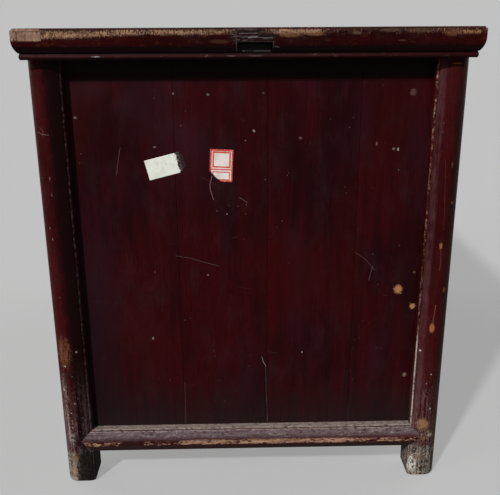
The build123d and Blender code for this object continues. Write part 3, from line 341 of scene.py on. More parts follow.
def lay_marks(s, spots=(), lines=(), low=-1.0, high=1.0, level=0.0):
    """Lay on the listed marks that touch the stretch from y = low to y = high."""
    for centre, size, colour, strength in spots:
        y, z = placed(centre, level)
        half = placed(size)
        if low - half[0] < y < high + half[0]:
            raised = -0.8 if size[1] > SUNK_SIZE else 0.0
            s.cover((spot(s, (y, z), half), strength), colour, 0.8, raised)
    for points, width, colour, strength in lines:
        points = [placed(point, level) for point in points]
        if max(y for y, z in points) < low or min(y for y, z in points) > high:
            continue
        mask = 0.0
        for start, end in zip(points, points[1:]):
            mask = s.larger(mask, line_between(s, start, end, width * MM))
        s.cover((mask, strength), colour, 0.8, -0.3)


def profile(s, value, low, high, points):
    """A value read from a row of heights from 0 to 1, spread evenly from low to high."""
    scaled = s.add("MapRange", {0: value, 1: low, 2: high, 3: 0.0, 4: 1.0}).outputs[0]
    ramp = s.add("ValToRGB", {0: scaled})
    stops = ramp.color_ramp.elements
    for index, height in enumerate(points):
        at = index / (len(points) - 1)
        stop = stops.new(at) if 0 < at < 1 else stops[0 if at == 0 else -1]
        stop.color = (height, height, height, 1)
    return ramp.outputs[0]


# ---------------------------------------------------------------- the wood
PANEL_DEEP, PANEL_WARM = (0.0125, 0.0007, 0.0014), (0.03, 0.0011, 0.0024)
LEG_DEEP, LEG_WARM = (0.019, 0.001, 0.0015), (0.045, 0.0028, 0.004)
TOP_DEEP, TOP_WARM = (0.014, 0.0005, 0.0008), (0.031, 0.0014, 0.0014)

# marks on the boards of the right-hand end, in mm: place as y and z, half size, colour, strength
TAN, BROWN, WHITISH = (0.4, 0.185, 0.08), (0.2, 0.095, 0.045), (0.38, 0.3, 0.275)
DOT = (0.6, 0.6)
END_SPOTS = (
    ((180.6, 261.1), (5.2, 5.4), TAN, 1.0),
    ((184, 256), (2, 1.6), BROWN, 0.7),
    ((200, 238.5), (3.4, 3.6), TAN, 1.0),
    ((183.1, 498), (3.6, 4), (0.13, 0.08, 0.055), 0.55),
    ((196, 143.5), (2.6, 3), (0.24, 0.17, 0.13), 0.6),
    ((199, 283), (1.6, 1.8), BROWN, 0.6),
    ((-39.4, 362.7), DOT, WHITISH, 0.5),
    ((-27.7, 358.9), (1, 0.9), WHITISH, 0.6),
    ((57.5, 447.6), (2, 1.4), (0.2, 0.11, 0.11), 0.6),
    ((4.4, 455.9), (1.4, 1.6), WHITISH, 0.7),
    ((-5.3, 445.2), (0.9, 0.9), WHITISH, 0.35),
    ((165, 434.2), (1.6, 1.4), (0.28, 0.19, 0.19), 0.6),
    ((170, 433.7), (1.2, 1.8), (0.42, 0.34, 0.33), 0.75),
    ((145, 440.4), (1.2, 2.2), (0.2, 0.11, 0.11), 0.6),
    ((-51.9, 282.7), (1.2, 1.2), WHITISH, 0.35),
    ((-115.7, 287.4), DOT, WHITISH, 0.35),
    ((-85.6, 498.2), (1.2, 1.4), WHITISH, 0.35),
    ((-47, 496.8), (1.6, 1.4), WHITISH, 0.35),
    ((-108.9, 438.7), (1.6, 1.2), WHITISH, 0.3),
    ((-196.1, 472.4), (1.8, 1.4), WHITISH, 0.4),
    ((-78.4, 462.5), DOT, WHITISH, 0.35),
    ((-122.2, 199.5), (1.2, 2), WHITISH, 0.4),
    ((64, 177.5), (1, 1.2), WHITISH, 0.6),
    ((15, 498), (1.4, 1), (0.12, 0.1, 0.1), 0.6),
)
# marks as lines, in mm: the points that they run through as y and z, half width, colour, strength
END_LINES = (
    (((-44.3, 404.5), (-46.9, 395.1), (-46.6, 387.4), (-43, 376.3)), 0.32, WHITISH, 0.75),
    (((-148.1, 438.2), (-150.7, 426.5), (-152.5, 417.3), (-154.1, 406.6)), 0.26, WHITISH, 0.3),
    (((-12.5, 378.5), (-3.9, 372.5)), 0.5, PALE_MARK, 0.55),
    (((-58.5, 404), (-50, 400), (-40, 394)), 0.3, (0.1, 0.045, 0.045), 0.45),
    (((-89.6, 307.5), (-73, 304.7), (-57.5, 299.4), (-38.4, 294.1)), 0.28, PALE_MARK, 0.55),
    (((125.5, 309.6), (139, 300), (150.9, 286.3)), 0.3, PALE_MARK, 0.45),
    (((148, 291.5), (145.4, 280), (144, 273.4)), 0.3, WHITISH, 0.35),
    (((13.5, 171.3), (15.5, 164), (18.6, 158.6)), 0.45, WHITISH, 0.7),
    (((18.2, 158.6), (19, 120), (20.5, 80)), 0.24, PALE_MARK, 0.55),
    (((16.8, 156), (17.2, 78)), 0.4, DARK_MARK, 0.9),
    (((123.5, 205), (124, 150), (124.3, 100)), 0.4, DARK_MARK, 0.9),
    (((-85, 138), (-85.5, 78)), 0.26, PALE_MARK, 0.4),
)


CLOUDED, BLUISH, SHADED = (0.036, 0.0115, 0.0165), (0.012, 0.0072, 0.0105), (0.007, 0.0018, 0.0024)
# the last of these, for under the overhang of the top, is painted shade
REDDER, PURPLE, PAINTED_SHADE_UNDER_TOP = (0.038, 0.0013, 0.0013), (0.023, 0.0045, 0.008), (0.002, 0.0004, 0.0005)
GRIME, FOOT_GRIME, SEAM_DUST = (0.0135, 0.0062, 0.0058), (0.017, 0.0108, 0.01), (0.095, 0.072, 0.068)
# where a finish of the boards sets in and where it is full: heights, and places from the front to the back
PAINTED_SHADE_UNDER_TOP_Z, CLOUDED_Z, SHADED_Z, GRIME_Z, SEAM_Z = (0.507, 0.519), (0.34, 0.48), (0.3, 0.15), (0.185, 0.115), (0.15, 0.11)
CLOUDED_Y, BLUISH_Y, SHADED_Y = (0.0, -0.1), (-0.15, -0.195), (-0.11, -0.19)


def end_panel(node, seed):
    """The boards of an end; those of the right-hand one have their own marks."""
    s = lacquer(node, "Z", seed, PANEL_DEEP, PANEL_WARM, wear=0, film=0.3, dust=0.4)
    # duller and greyer high up towards the front, blue-grey close to the front leg, and dark low down there
    cloud = s.grain("Z", 4, 0.7, 9.0, 5.0, 0.6)
    drawn = s.grain("Z", 8, 0.05, 300.0, 3.0)
    s.cover((s.step(s.z, *CLOUDED_Z), s.step(s.y, *CLOUDED_Y), s.step(cloud, 0.36, 0.62), 0.6), CLOUDED, 0.6)
    s.cover((s.step(s.y, *BLUISH_Y), s.step(cloud, 0.3, 0.6), 0.6), BLUISH, 0.6)
    s.cover((s.step(s.y, *SHADED_Y), s.step(s.z, *SHADED_Z), 0.55), SHADED, 0.6)
    # redder and purple stretches
    warmth = s.grain("Z", 14, 0.6, 7.0, 4.0)
    s.cover((s.step(warmth, 0.48, 0.66), 0.45), REDDER)
    purple = s.grain("Z", 24, 0.35, 19.0, 5.0, 0.65)
    s.cover((s.step(purple, 0.5, 0.66), 0.42), PURPLE, 0.55)
    # painted shade under the overhang of the top
    s.cover((s.step(s.z, *PAINTED_SHADE_UNDER_TOP_Z), 0.85), PAINTED_SHADE_UNDER_TOP, 0.7)
    # brown grime that climbs the boards from the rail
    climb = s.plus(s.z, s.times(drawn, 0.06))
    s.cover((s.step(climb, *GRIME_Z), 0.6), GRIME, 0.7)
    s.cover((s.step(climb, PANEL_FOOT + 0.054, PANEL_FOOT + 0.026), 0.5), FOOT_GRIME, 0.75)
    # dust caught in the seams low down
    low_down = s.step(s.plus(s.z, s.times(drawn, 0.05)), *SEAM_Z)
    s.cover((edges(s, 0.0012), low_down, 0.5), SEAM_DUST, 0.8)
    if "right" in node:
        low, high = (corner.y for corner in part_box(node))
        lay_marks(s, END_SPOTS, END_LINES, low, high)
    return s.finish(specular=0.06, bump=0.5)


ORANGE = (0.32, 0.115, 0.042)
LEG_SPOTS = {
    "leg_back_right": (
        ((222.3, 214.5), (3, 6.2), ORANGE, 1.0),
        ((224.8, 320.5), (1.8, 4), (0.3, 0.12, 0.05), 0.9),
        ((234, 373.1), (1.2, 2), BROWN, 0.7),
        ((233.4, 264.2), (1.4, 3.4), BROWN, 0.6),
        ((230, 418), (1, 3), BROWN, 0.5),
        ((211, 182.6), (1.1, 1.1), (0.62, 0.56, 0.52), 1.0),
        ((226.2, 150.7), (1, 0.9), WHITISH, 0.8),
        ((221.3, 137.2), DOT, WHITISH, 0.7),
        ((228.6, 101.4), (1.1, 1.3), WHITISH, 0.8),
        ((226.5, 529.4), (4.8, 1), ORANGE, 1.0),
        ((220.5, 78), (8, 8.8), (0.255, 0.14, 0.074), 0.95),
        ((216.5, 76), (2.2, 3), BROWN, 0.8),
        ((222.5, 72), (3, 1.6), (0.1, 0.04, 0.022), 0.8),
        ((226.2, 80), (2, 3), (0.3, 0.12, 0.055), 0.8),
        ((231, 63), (3, 3.4), (0.36, 0.28, 0.22), 0.7),
        ((224, 57.5), (2, 2.6), BROWN, 0.8),
        ((237, 24), (2.2, 17), (0.035, 0.026, 0.022), 0.8),
        ((230, 33), (1.6, 8), (0.3, 0.26, 0.24), 0.7),
    ),
    "leg_front_right": (
        ((-227.1, 406.3), (0.6, 2), PALE_MARK, 0.8),
        ((-226.7, 387.1), (0.6, 1.8), PALE_MARK, 0.7),
        ((-230.7, 334.5), (0.7, 1.4), PALE_MARK, 0.8),
        ((-232.6, 347.9), (0.6, 1.6), PALE_MARK, 0.7),
        ((-215.7, 188.3), (1.2, 1.4), WHITISH, 0.8),
        ((-230.9, 169.7), (1.3, 1.2), WHITISH, 0.9),
        ((-237.8, 185.6), DOT, WHITISH, 0.8),
        ((-235.4, 136.2), (1.2, 1.6), WHITISH, 0.8),
        ((-223.6, 155.1), DOT, WHITISH, 0.7),
        ((-223.4, 117), (1, 1.1), WHITISH, 0.9),
        ((-229, 103.6), (1.1, 0.9), WHITISH, 0.8),
        ((-233.4, 100.5), (1, 1.4), WHITISH, 0.8),
        ((-224, 87), (1.6, 4), (0.12, 0.06, 0.05), 0.7),
        ((-233, 18), (4, 6), (0.34, 0.215, 0.14), 0.7),
        ((-230, 37), (5, 4), (0.2, 0.115, 0.07), 0.7),
        ((-234, 6), (6, 3), (0.38, 0.3, 0.24), 0.7),
    ),
}
# stretches where the lacquer is rubbed through in crumbs, listed as the spots are
LEG_RUBS = {
    "leg_back_right": (
        ((210.5, 17), (6, 13), (0.72, 0.67, 0.61), 1.0),
        ((220, 5.5), (12, 5), (0.34, 0.3, 0.26), 0.8),
        ((226, 62), (8, 9), (0.26, 0.17, 0.125), 0.8),
        ((221.5, 110), (5, 30), (0.12, 0.08, 0.085), 0.5),
    ),
    "leg_front_right": (
        ((-230, 188), (8.5, 22), (0.2, 0.075, 0.038), 0.7),
        ((-235, 120), (5, 35), (0.26, 0.2, 0.185), 0.6),
        ((-231, 76), (4.5, 20), (0.32, 0.28, 0.27), 0.8),
        ((-233, 25), (6, 18), (0.3, 0.2, 0.14), 0.5),
    ),
}
LEG_LINES = {
    "leg_back_right": (
        (((222.6, 219), (224, 234), (224.6, 245)), 0.8, (0.2, 0.08, 0.036), 0.6),
        (((225, 316), (226.2, 302), (225.6, 290)), 0.4, (0.12, 0.06, 0.07), 0.7),
        (((221.9, 421.9), (224.5, 380), (226.5, 340)), 0.28, (0.14, 0.05, 0.05), 0.4),
    ),
    "leg_front_right": (
        (((-235.8, 458.4), (-230.9, 456.1), (-223.9, 455.3)), 0.45, PALE_MARK, 0.8),
        (((-233, 464), (-230, 460), (-230, 454)), 0.35, PALE_MARK, 0.5),
    ),
}
LEG_ORANGE, LEG_PURPLE = (0.052, 0.0085, 0.003), (0.032, 0.009, 0.017)
# the sheen colour is a painted highlight, and the darkened colour is painted shade
PAINTED_SHEEN, CORNER_BROWN, PAINTED_LEG_SHADE = (0.082, 0.032, 0.037), (0.018, 0.0062, 0.004), (0.004, 0.0005, 0.0004)
RUBBED_GREY, RUBBED_PALE = (0.15, 0.098, 0.095), (0.25, 0.195, 0.17)
# the second colour on the next line is partly a painted highlight
BEAD_WOOD, BEAD_PALE_HIGHLIGHT, BEAD_DULL = (0.34, 0.215, 0.145), (0.54, 0.48, 0.45), (0.06, 0.054, 0.05)
STAINED, WEATHERED, RUSTY = (0.018, 0.0125, 0.0095), (0.235, 0.19, 0.155), (0.17, 0.08, 0.04)
# the second colour on the next line is painted shade
FOOT_PALE, FOOT_PAINTED_SHADE = (0.42, 0.355, 0.3), (0.0055, 0.004, 0.0032)
# stretches across a leg, as distances from the middle of the end
PAINTED_SHEEN_SPAN, CREST_SPAN, PALE_HIGHLIGHT_SPAN = (0.2085, 0.2155), (0.2052, 0.208), (0.2056, 0.2072)
OUTER_CORNER, PAINTED_SHADE_SPAN, FOOT_SHADE_SPAN = (0.228, 0.236), (0.229, 0.219), (0.229, 0.2225)
# heights between which a finish of a leg sets in
RUBBED_Z, CREST_Z, PALE_HIGHLIGHT_Z = (0.235, 0.085), (0.445, 0.47), (0.215, 0.19)


def leg(node, seed):
    """A leg: lacquered, rubbed pale low down, and bare and stained at the foot."""
    s = lacquer(node, "Z", seed, LEG_DEEP, LEG_WARM, wear=0.12, film=0.3)
    back, right = "back" in node, "right" in node
    streaks = s.grain("Z", seed + 2, 0.05, 260.0, 4.0, 0.65)
    blotch = s.grain("Z", seed + 4, 0.45, 120.0, 6.0, 0.7)
    crumbs = s.grain("Z", seed + 6, 0.7, 420.0, 5.0, 0.75)
    aside = s.absolute(s.y)
    outer = s.step(s.absolute(s.facing_x), 0.3, 0.6)

    # orange-brown and purple tones in the lacquer
    s.cover((s.step(blotch, 0.52, 0.68), 0.4), LEG_ORANGE)
    s.cover((s.step(blotch, 0.46, 0.32), 0.4), LEG_PURPLE)
    if back:
        # a painted highlight, a sheen beside the panel, and a duller brown at the outer corner
        streaky = s.step(s.weigh((streaks, 0.5), (blotch, 0.5)), 0.36, 0.6)
        s.cover((s.within(aside, *PAINTED_SHEEN_SPAN, 0.0025), streaky, outer, 0.75), PAINTED_SHEEN, 0.45)
        s.cover((s.step(aside, *OUTER_CORNER), 0.7), CORNER_BROWN, 0.6)
    else:
        # painted shade on the half next to the panel
        half = s.step(s.jagged(aside, blotch, 0.012), *PAINTED_SHADE_SPAN)
        s.cover((half, outer, 0.93), PAINTED_LEG_SHADE, 0.5)

    # rubbed and greyed towards the foot
    low = s.step(s.plus(s.z, s.times(streaks, 0.09)), *RUBBED_Z)
    patchy = s.step(s.weigh((streaks, 0.6), (crumbs, 0.4)), 0.42, 0.6)
    s.cover((patchy, low, 0.62), RUBBED_GREY, 0.6)
    s.cover((s.step(crumbs, 0.6, 0.68), low, 0.6), RUBBED_PALE, 0.8, -0.3)

    # the bead beside the panel, knocked pale along its crest; low down on a back leg a thin pale line beside the
    # crest is partly worn lacquer and partly a painted highlight
    crest = s.times(s.within(aside, *CREST_SPAN, 0.0004), outer)
    broken = s.step(s.grain("Z", seed + 12, 0.5, 340.0, 5.0, 0.75), 0.5, 0.58)
    if back:
        high_up = s.step(s.z, *CREST_Z, 0.42, 0.95)
        s.cover((crest, broken, high_up), BEAD_WOOD, 0.8)
        pale_highlight_line = s.times(s.within(aside, *PALE_HIGHLIGHT_SPAN, 0.0004), outer, s.step(s.z, *PALE_HIGHLIGHT_Z))
        broken_highlight = s.step(s.weigh((streaks, 0.5), (crumbs, 0.5)), 0.43, 0.53)
        s.cover((pale_highlight_line, broken_highlight, 0.85), BEAD_PALE_HIGHLIGHT, 0.6)
    else:
        s.cover((crest, broken, 0.5), BEAD_DULL, 0.8)

    # the foot: bare, weathered and stained, and on a front leg painted shade over the half next to the panel
    foot = s.step(s.jagged(s.z, blotch, 0.024), RAIL_FOOT + 0.006, RAIL_FOOT - 0.004)
    tone = s.weigh((crumbs, 0.5), (streaks, 0.3), (blotch, 0.2))
    wood = s.mix(s.step(tone, 0.44, 0.56), STAINED, WEATHERED)
    wood = s.mix(s.times(s.step(blotch, 0.52, 0.66), 0.6), wood, RUSTY)
    wood = s.mix(s.times(s.step(crumbs, 0.57, 0.62), 0.8), wood, FOOT_PALE)
    s.cover((foot, 0.95), wood, 0.85, -0.4)
    if not back:
        s.cover((foot, s.step(aside, *FOOT_SHADE_SPAN), 0.93), FOOT_PAINTED_SHADE, 0.8)
    if right:
        crumbly = s.step(s.weigh((crumbs, 0.6), (streaks, 0.4)), 0.44, 0.56)
        for centre, size, colour, strength in LEG_RUBS[node]:
            rubbed = s.times(spot(s, placed(centre), placed(size)), crumbly, strength)
            s.cover(rubbed, colour, 0.8, -0.4)
        lay_marks(s, LEG_SPOTS[node], LEG_LINES[node])
    return s.finish(specular=0.05, bump=0.6)


# how much of the bottom rail's frontmost line is bare at the right-hand end, from the front to the back
CREST_REACH = 0.204
CREST_ALONG = (
    0.52, 0.48, 0.4, 0.22, 0.46, 0.5, 0.36, 0.66, 0.8, 0.74, 0.7, 0.48, 0.78,
    0.9, 0.9, 0.8, 0.95, 1, 0.85, 0.72, 0.54, 0.5, 0.54, 0.52, 0.5,
)
RAIL_GREY, RAIL_DUST, RAIL_PALE = (0.15, 0.104, 0.109), (0.305, 0.24, 0.21), (0.4, 0.335, 0.32)
# the second colour on the next line is painted shade
RAIL_PITS, RAIL_PAINTED_SHADE = (0.038, 0.018, 0.019), (0.019, 0.01, 0.0085)
CREST_DEEP, CREST_PALE = (0.17, 0.085, 0.052), (0.47, 0.27, 0.175)


def rail(node, axis, seed):
    """A bottom or middle rail: dusty above, rubbed along its frontmost line, with painted shade below."""
    s = lacquer(node, axis, seed, LEG_DEEP, LEG_WARM, wear=0.3, film=0.4, dust=0.0)
    facing = s.facing_x if axis == "Y" else s.facing_y
    outward = 1.0 if "right" in node or "back" in node else -1.0
    fine = s.grain(axis, seed + 6, 0.1, 520.0, 4.0, 0.7)
    crumbs = s.grain(axis, seed + 8, 0.4, 380.0, 5.0, 0.72)
    tilt = s.jagged(s.facing_z, fine, 0.16)
    outer = s.step(s.times(facing, outward), -0.2, 0.1)
    greyed = s.times(s.step(tilt, 0.02, 0.3), outer)
    s.cover((greyed, s.step(fine, 0.2, 0.6, 0.5, 0.95)), RAIL_GREY, 0.7)
    dusty = s.times(s.step(tilt, 0.4, 0.85), outer)
    s.cover((dusty, s.step(fine, 0.3, 0.6, 0.55, 1.0)), RAIL_DUST, 0.85)
    s.cover((s.step(crumbs, 0.56, 0.66), greyed, 0.55), RAIL_PALE, 0.8)
    s.cover((s.step(crumbs, 0.49, 0.4), greyed, 0.8), RAIL_PITS, 0.6)
    ragged = s.jagged(tilt, crumbs, 0.45)
    if node == "bottom_right_rail":
        bare = profile(s, s.y, -CREST_REACH, CREST_REACH, CREST_ALONG)
        bare = s.step(s.jagged(crumbs, bare, 0.55), 0.49, 0.57)
    else:
        bare = s.step(s.grain(axis, seed + 2, 0.06, 90.0, 5.0, 0.65), 0.4, 0.5)
    crest = s.times(s.within(ragged, -0.13, 0.07, 0.03), bare)
    crest_wood = s.mix(s.step(fine, 0.34, 0.58), CREST_DEEP, CREST_PALE)
    s.cover((crest, s.step(crumbs, 0.36, 0.48), outer), crest_wood, 0.75, -0.4)
    # painted shade on what faces down
    painted_shade_below = s.times(s.step(tilt, -0.1, -0.24), outer)
    s.cover((painted_shade_below, 0.85), RAIL_PAINTED_SHADE, 0.7)
    return s.finish(specular=0.1, bump=0.6)


# how much of the top's arris is bare, along it from the front or from the left
WEAR_ALONG = {
    "top_right_rail": (
        1, 1, 1, 1, 1, 0.95, 0.56, 0.52, 0.8, 0.8, 0.74, 0.56, 0.36,
        0.56, 0.8, 0.72, 0.42, 0.34, 0.4, 0.44, 0.42, 0.44, 0.5, 0.44, 0.36,
    ),
    "top_left_rail": (0.7, 0.5, 0.4, 0.6, 0.8, 0.5, 0.3, 0.4, 0.6, 0.9, 0.8, 0.5, 0.4),
    "top_front_rail": (0.8, 0.9, 0.6, 0.5, 0.8, 1, 1, 0.9, 0.7, 0.8, 1, 0.9, 0.6, 0.5, 0.7, 0.9, 0.8),
    "top_back_rail": (0.4, 0.3, 0.5, 0.4, 0.3, 0.2, 0.4, 0.5, 0.3, 0.3, 0.4, 0.5),
}
# the upper and the lower limit of the bare strip along the right-hand end, in mm below the top
STRIP_FROM = (0.5, 3.6, 3.6, 2.4, 2.6, 2.8, 2.5, 1.2, 1.5, 2.5, 2.5, 2.0, 0.8)
STRIP_TO = (11.0, 10.2, 9.2, 7.6, 7.0, 6.8, 5.5, 7.2, 5.5, 6.0, 6.0, 8.0, 7.0)
STRIP_SCALE = 20.0  # mm for a full step of a profile
OTHER_STRIP = (0.0014, 0.0075)  # the same limits on the other three sides, in metres
STRIP_PALE, STRIP_DEEP = (0.4, 0.235, 0.14), (0.12, 0.055, 0.033)
RUST, SCUFF, BROWNED = (0.085, 0.022, 0.01), (0.05, 0.033, 0.032), (0.066, 0.028, 0.017)
PIT, FLECK = (0.006, 0.003, 0.003), (0.28, 0.15, 0.09)
# both colours on the next line are painted shade
PAINTED_SHADE_COVE, PAINTED_SHADE_UNDER_BEAD = (0.0045, 0.0012, 0.001), (0.005, 0.0012, 0.0012)
BEAD_MATT, BEAD_CHIP = (0.06, 0.0205, 0.0225), (0.3, 0.21, 0.2)
# how far below the top the parts of the moulding lie
COVE_FOOT, TOP_BEAD, UNDER_BEAD = (0.0185, 0.0271), (0.0276, 0.03), (0.0296, 0.0306)


def moulding(node, axis, seed):
    """A rail of the top: a bare strip along its upper arris, and bare tenon ends at the corners."""
    s = lacquer(node, axis, seed, TOP_DEEP, TOP_WARM, wear=0, film=0.3, dust=0.05)
    reach = cad_box[1].y if axis == "Y" else cad_box[1].x
    where = s.y if axis == "Y" else s.x
    presence = profile(s, where, -reach, reach, WEAR_ALONG[node])
    crumbs = s.grain("Z", seed + 2, 0.45, 560.0, 5.0, 0.78)
    grit = s.grain("Z", seed + 21, 0.5, 1300.0, 3.0, 0.7)
    broad = s.grain(axis, seed + 3, 0.5, 36.0, 3.0)
    drop = s.minus(TOP, s.z)
    rough_drop = s.jagged(s.jagged(drop, crumbs, 0.017), broad, 0.003)
    if node == "top_right_rail":
        first, last = (
            s.times(profile(s, where, -reach, reach, [h / STRIP_SCALE for h in limit]), STRIP_SCALE * MM)
            for limit in (STRIP_FROM, STRIP_TO))
    else:
        first, last = OTHER_STRIP
    past_first, past_last = s.minus(rough_drop, first), s.minus(rough_drop, last)
    inside = s.times(s.step(past_first, -BLUR, BLUR), s.step(past_last, BLUR, -BLUR))
    chance = s.step(s.jagged(crumbs, s.jagged(presence, broad, 0.5), 0.65), 0.5, 0.56)
    upright = s.step(s.absolute(s.facing_z), 0.6, 0.3)
    patchy = s.grain(axis, seed + 7, 0.5, 210.0, 5.0, 0.7)

    # rusty patches, scuffs above the strip, and a browned stretch
    s.cover((s.step(patchy, 0.55, 0.66), upright, 0.4), RUST, 0.6)
    if node == "top_right_rail":
        s.cover((s.step(past_first, 0.0008, -0.0004), upright, 0.7), SCUFF, 0.7)
    browned = s.times(s.step(patchy, 0.44, 0.56), s.step(drop, 0.009, 0.0055), upright)
    s.cover((browned, 0.55), BROWNED, 0.6)

    # the bare strip, with dark pits and pale flecks
    texture = s.weigh((crumbs, 0.38), (grit, 0.22), (patchy, 0.4))
    strip_wood = s.mix(s.step(texture, 0.44, 0.56), STRIP_DEEP, STRIP_PALE)
    kept = s.step(s.weigh((crumbs, 0.6), (grit, 0.4)), 0.425, 0.46, 0.12, 1.0)
    s.cover((inside, kept, chance, upright), strip_wood, 0.75, -0.6)
    pits = s.times(s.step(crumbs, 0.47, 0.41), s.step(drop, 0.0085, 0.005), upright)
    s.cover((pits, 0.6), PIT, 0.7)
    flecks = s.times(s.step(crumbs, 0.59, 0.66), s.step(drop, 0.011, 0.006), upright)
    s.cover((flecks, 0.65), FLECK, 0.8, -0.4)

    # painted shade in the cove's foot and under the bead, and a bead that has lost its gloss
    s.cover((s.within(drop, *COVE_FOOT, 0.0014), 0.85), PAINTED_SHADE_COVE, 0.5)
    s.cover((s.step(drop, *UNDER_BEAD), 0.85), PAINTED_SHADE_UNDER_BEAD, 0.6)
    bead = s.times(s.within(drop, *TOP_BEAD, 0.0004), s.step(s.facing_z, -0.5, 0.2))
    bead = s.times(bead, s.step(s.y, 0.06, 0.2, 1, 0.35))
    s.cover((bead, 0.6), BEAD_MATT, 0.5)
    s.cover((bead, s.step(patchy, 0.64, 0.72), 0.7), BEAD_CHIP, 0.7)

    s.dull(s.step(s.facing_z, 0.6, 0.9))
    if node == "top_right_rail":
        end_marks(s, seed, crumbs)
    elif axis == "X":
        bare_tenons(s, node, seed, crumbs, drop)
    return s.finish(specular=0.05, bump=0.6)


GREY_PAINT = (0.165, 0.15, 0.14)
CORNER_PATCH, CORNER_DEPTH = -0.2194, 0.0116  # the y at which the bare front corner ends, and how far down it goes
CHALKY = (0.52, 0.44, 0.39)
MORTISE_GRIME, MORTISE_BLACK = (0.014, 0.008, 0.007), (0.008, 0.005, 0.004)
CORNER_PALE, CORNER_DEEP = (0.36, 0.215, 0.15), (0.19, 0.105, 0.07)
CORNER_CRUMB, CORNER_PIT = (0.5, 0.36, 0.27), (0.095, 0.048, 0.036)
TENON_DEEP, TENON_PALE = (0.16, 0.06, 0.028), (0.34, 0.17, 0.09)


def corner_wood(s, seed, crumbs):
    """Bare end grain, pinkish, with pale and dark crumbs."""
    wood = bare_wood(s, "Z", seed + 8, CORNER_PALE, CORNER_DEEP)
    wood = s.mix(s.times(s.step(crumbs, 0.54, 0.62), 0.6), wood, CORNER_CRUMB)
    return s.mix(s.times(s.step(crumbs, 0.46, 0.38), 0.8), wood, CORNER_PIT)


# marks on the end of the top, in mm, with heights taken from the top
MOULDING_SPOTS = (
    ((-163.5, -28.9), (4.5, 0.6), (0.46, 0.4, 0.42), 0.7),
    ((-20, -28.9), (5, 0.6), (0.18, 0.115, 0.135), 0.5),
    ((6, -28.9), (8, 0.6), (0.15, 0.1, 0.095), 0.5),
    ((215, -6.2), (11, 3.8), (0.18, 0.078, 0.036), 0.5),
    ((112, -6), (5, 1.6), (0.24, 0.16, 0.13), 0.25),
    ((178, -4), (16, 2), (0.14, 0.07, 0.046), 0.45),
    ((148, -3.6), (10, 1.8), (0.14, 0.07, 0.046), 0.45),
    ((160, -14), (4, 1.1), (0.13, 0.048, 0.032), 0.4),
    ((232, -6.6), (4.4, 2), (0.46, 0.39, 0.33), 0.6),
    ((42, -7.5), (12, 2.6), (0.24, 0.11, 0.05), 0.5),
    ((68, -7), (10, 2), (0.26, 0.125, 0.06), 0.5),
    ((-33, -14), (10, 2.2), (0.07, 0.028, 0.014), 0.6),
)
MOULDING_LINES = (
    (((-15, -5), (-14.6, -24)), 0.75, (0.075, 0.044, 0.046), 0.75),
    (((-13, -14.8), (23, -14.6)), 0.45, GREY_PAINT, 0.35),
    (((24.5, -14), (24.6, -20.5)), 0.45, GREY_PAINT, 0.35),
    (((26.2, -19.2), (30, -20)), 0.8, GREY_PAINT, 0.55),
    (((-2, -10.2), (7.5, -9.6)), 0.8, (0.3, 0.29, 0.27), 0.65),
    (((-12, -6.2), (7, -6)), 0.5, GREY_PAINT, 0.6),
    (((7, -10), (23, -10.4)), 0.45, GREY_PAINT, 0.6),
    (((-219, -5), (-218.7, -11)), 0.6, CHALKY, 0.7),
)


def end_marks(s, seed, crumbs):
    """What is particular to the right-hand end: its bare front corner, and old paint round the batten's mortise."""
    rough_y, rough_z = s.jagged(s.y, crumbs, 0.014), s.jagged(s.z, crumbs, 0.014)
    corner = s.times(s.step(rough_y, CORNER_PATCH + BLUR, CORNER_PATCH - BLUR),
                     s.step(rough_z, TOP - CORNER_DEPTH - BLUR, TOP - CORNER_DEPTH + BLUR))
    wood = corner_wood(s, seed, crumbs)
    s.cover((corner, s.step(s.z, TOP - 0.0002, TOP - 0.0014)), wood, 0.8, -0.6)

    streaks = s.grain("Y", seed + 11, 0.16, 420.0, 4.0, 0.7)
    near = s.times(s.within(s.y, -0.022, 0.026, 0.006), s.within(s.z, TOP - 0.015, TOP - 0.0015, 0.002))
    s.cover((near, 0.55), MORTISE_GRIME, 0.7)
    s.cover((near, s.step(streaks, 0.52, 0.64), 0.6), GREY_PAINT, 0.8)
    s.cover((near, s.step(streaks, 0.46, 0.38), 0.75), MORTISE_BLACK, 0.7)
    lay_marks(s, MOULDING_SPOTS, MOULDING_LINES, level=TOP)


def bare_tenons(s, node, seed, crumbs, drop):
    """The ends of a rail's through tenons."""
    at_end = s.step(s.absolute(s.x), cad_box[1].x - 0.0018, cad_box[1].x - 0.0008)
    tenon = s.times(at_end, s.step(s.absolute(s.facing_x), 0.6, 0.9))
    wood = corner_wood(s, seed, crumbs)
    if "back" in node:
        # still lacquered, but for the upper part
        upper = s.step(s.jagged(drop, crumbs, 0.012), 0.0085, 0.007)
        tenon = s.times(tenon, upper, s.step(crumbs, 0.4, 0.52))
        wood = s.mix(s.step(crumbs, 0.45, 0.6), TENON_DEEP, TENON_PALE)
    s.cover((tenon, 0.95), wood, 0.8, -0.6)


# the second colour on the next line is painted shade
USED, PAINTED_SHADE_BATTEN_END = (0.085, 0.04, 0.034), (0.006, 0.005, 0.0042)
BATTEN_LINES = (
    (((-12, -16.8), (22, -16.6)), 0.6, (0.1, 0.094, 0.088), 0.6),
    (((-12, -23.8), (-6, -24)), 0.6, (0.11, 0.125, 0.105), 0.7),
    (((4, -24), (21.5, -24.2)), 0.45, (0.1, 0.112, 0.096), 0.6),
)


def top_boards(seed):
    s = lacquer("top_boards", "Y", seed, TOP_DEEP, TOP_WARM, wear=0.35, film=0.3, dust=0.06)
    use = s.grain("Y", seed + 4, 0.5, 7.0, 5.0, 0.6)
    s.cover((s.step(use, 0.52, 0.7), 0.45), USED, 0.6)
    s.dull(1.0)
    return s.finish(specular=0.05, bump=0.3)


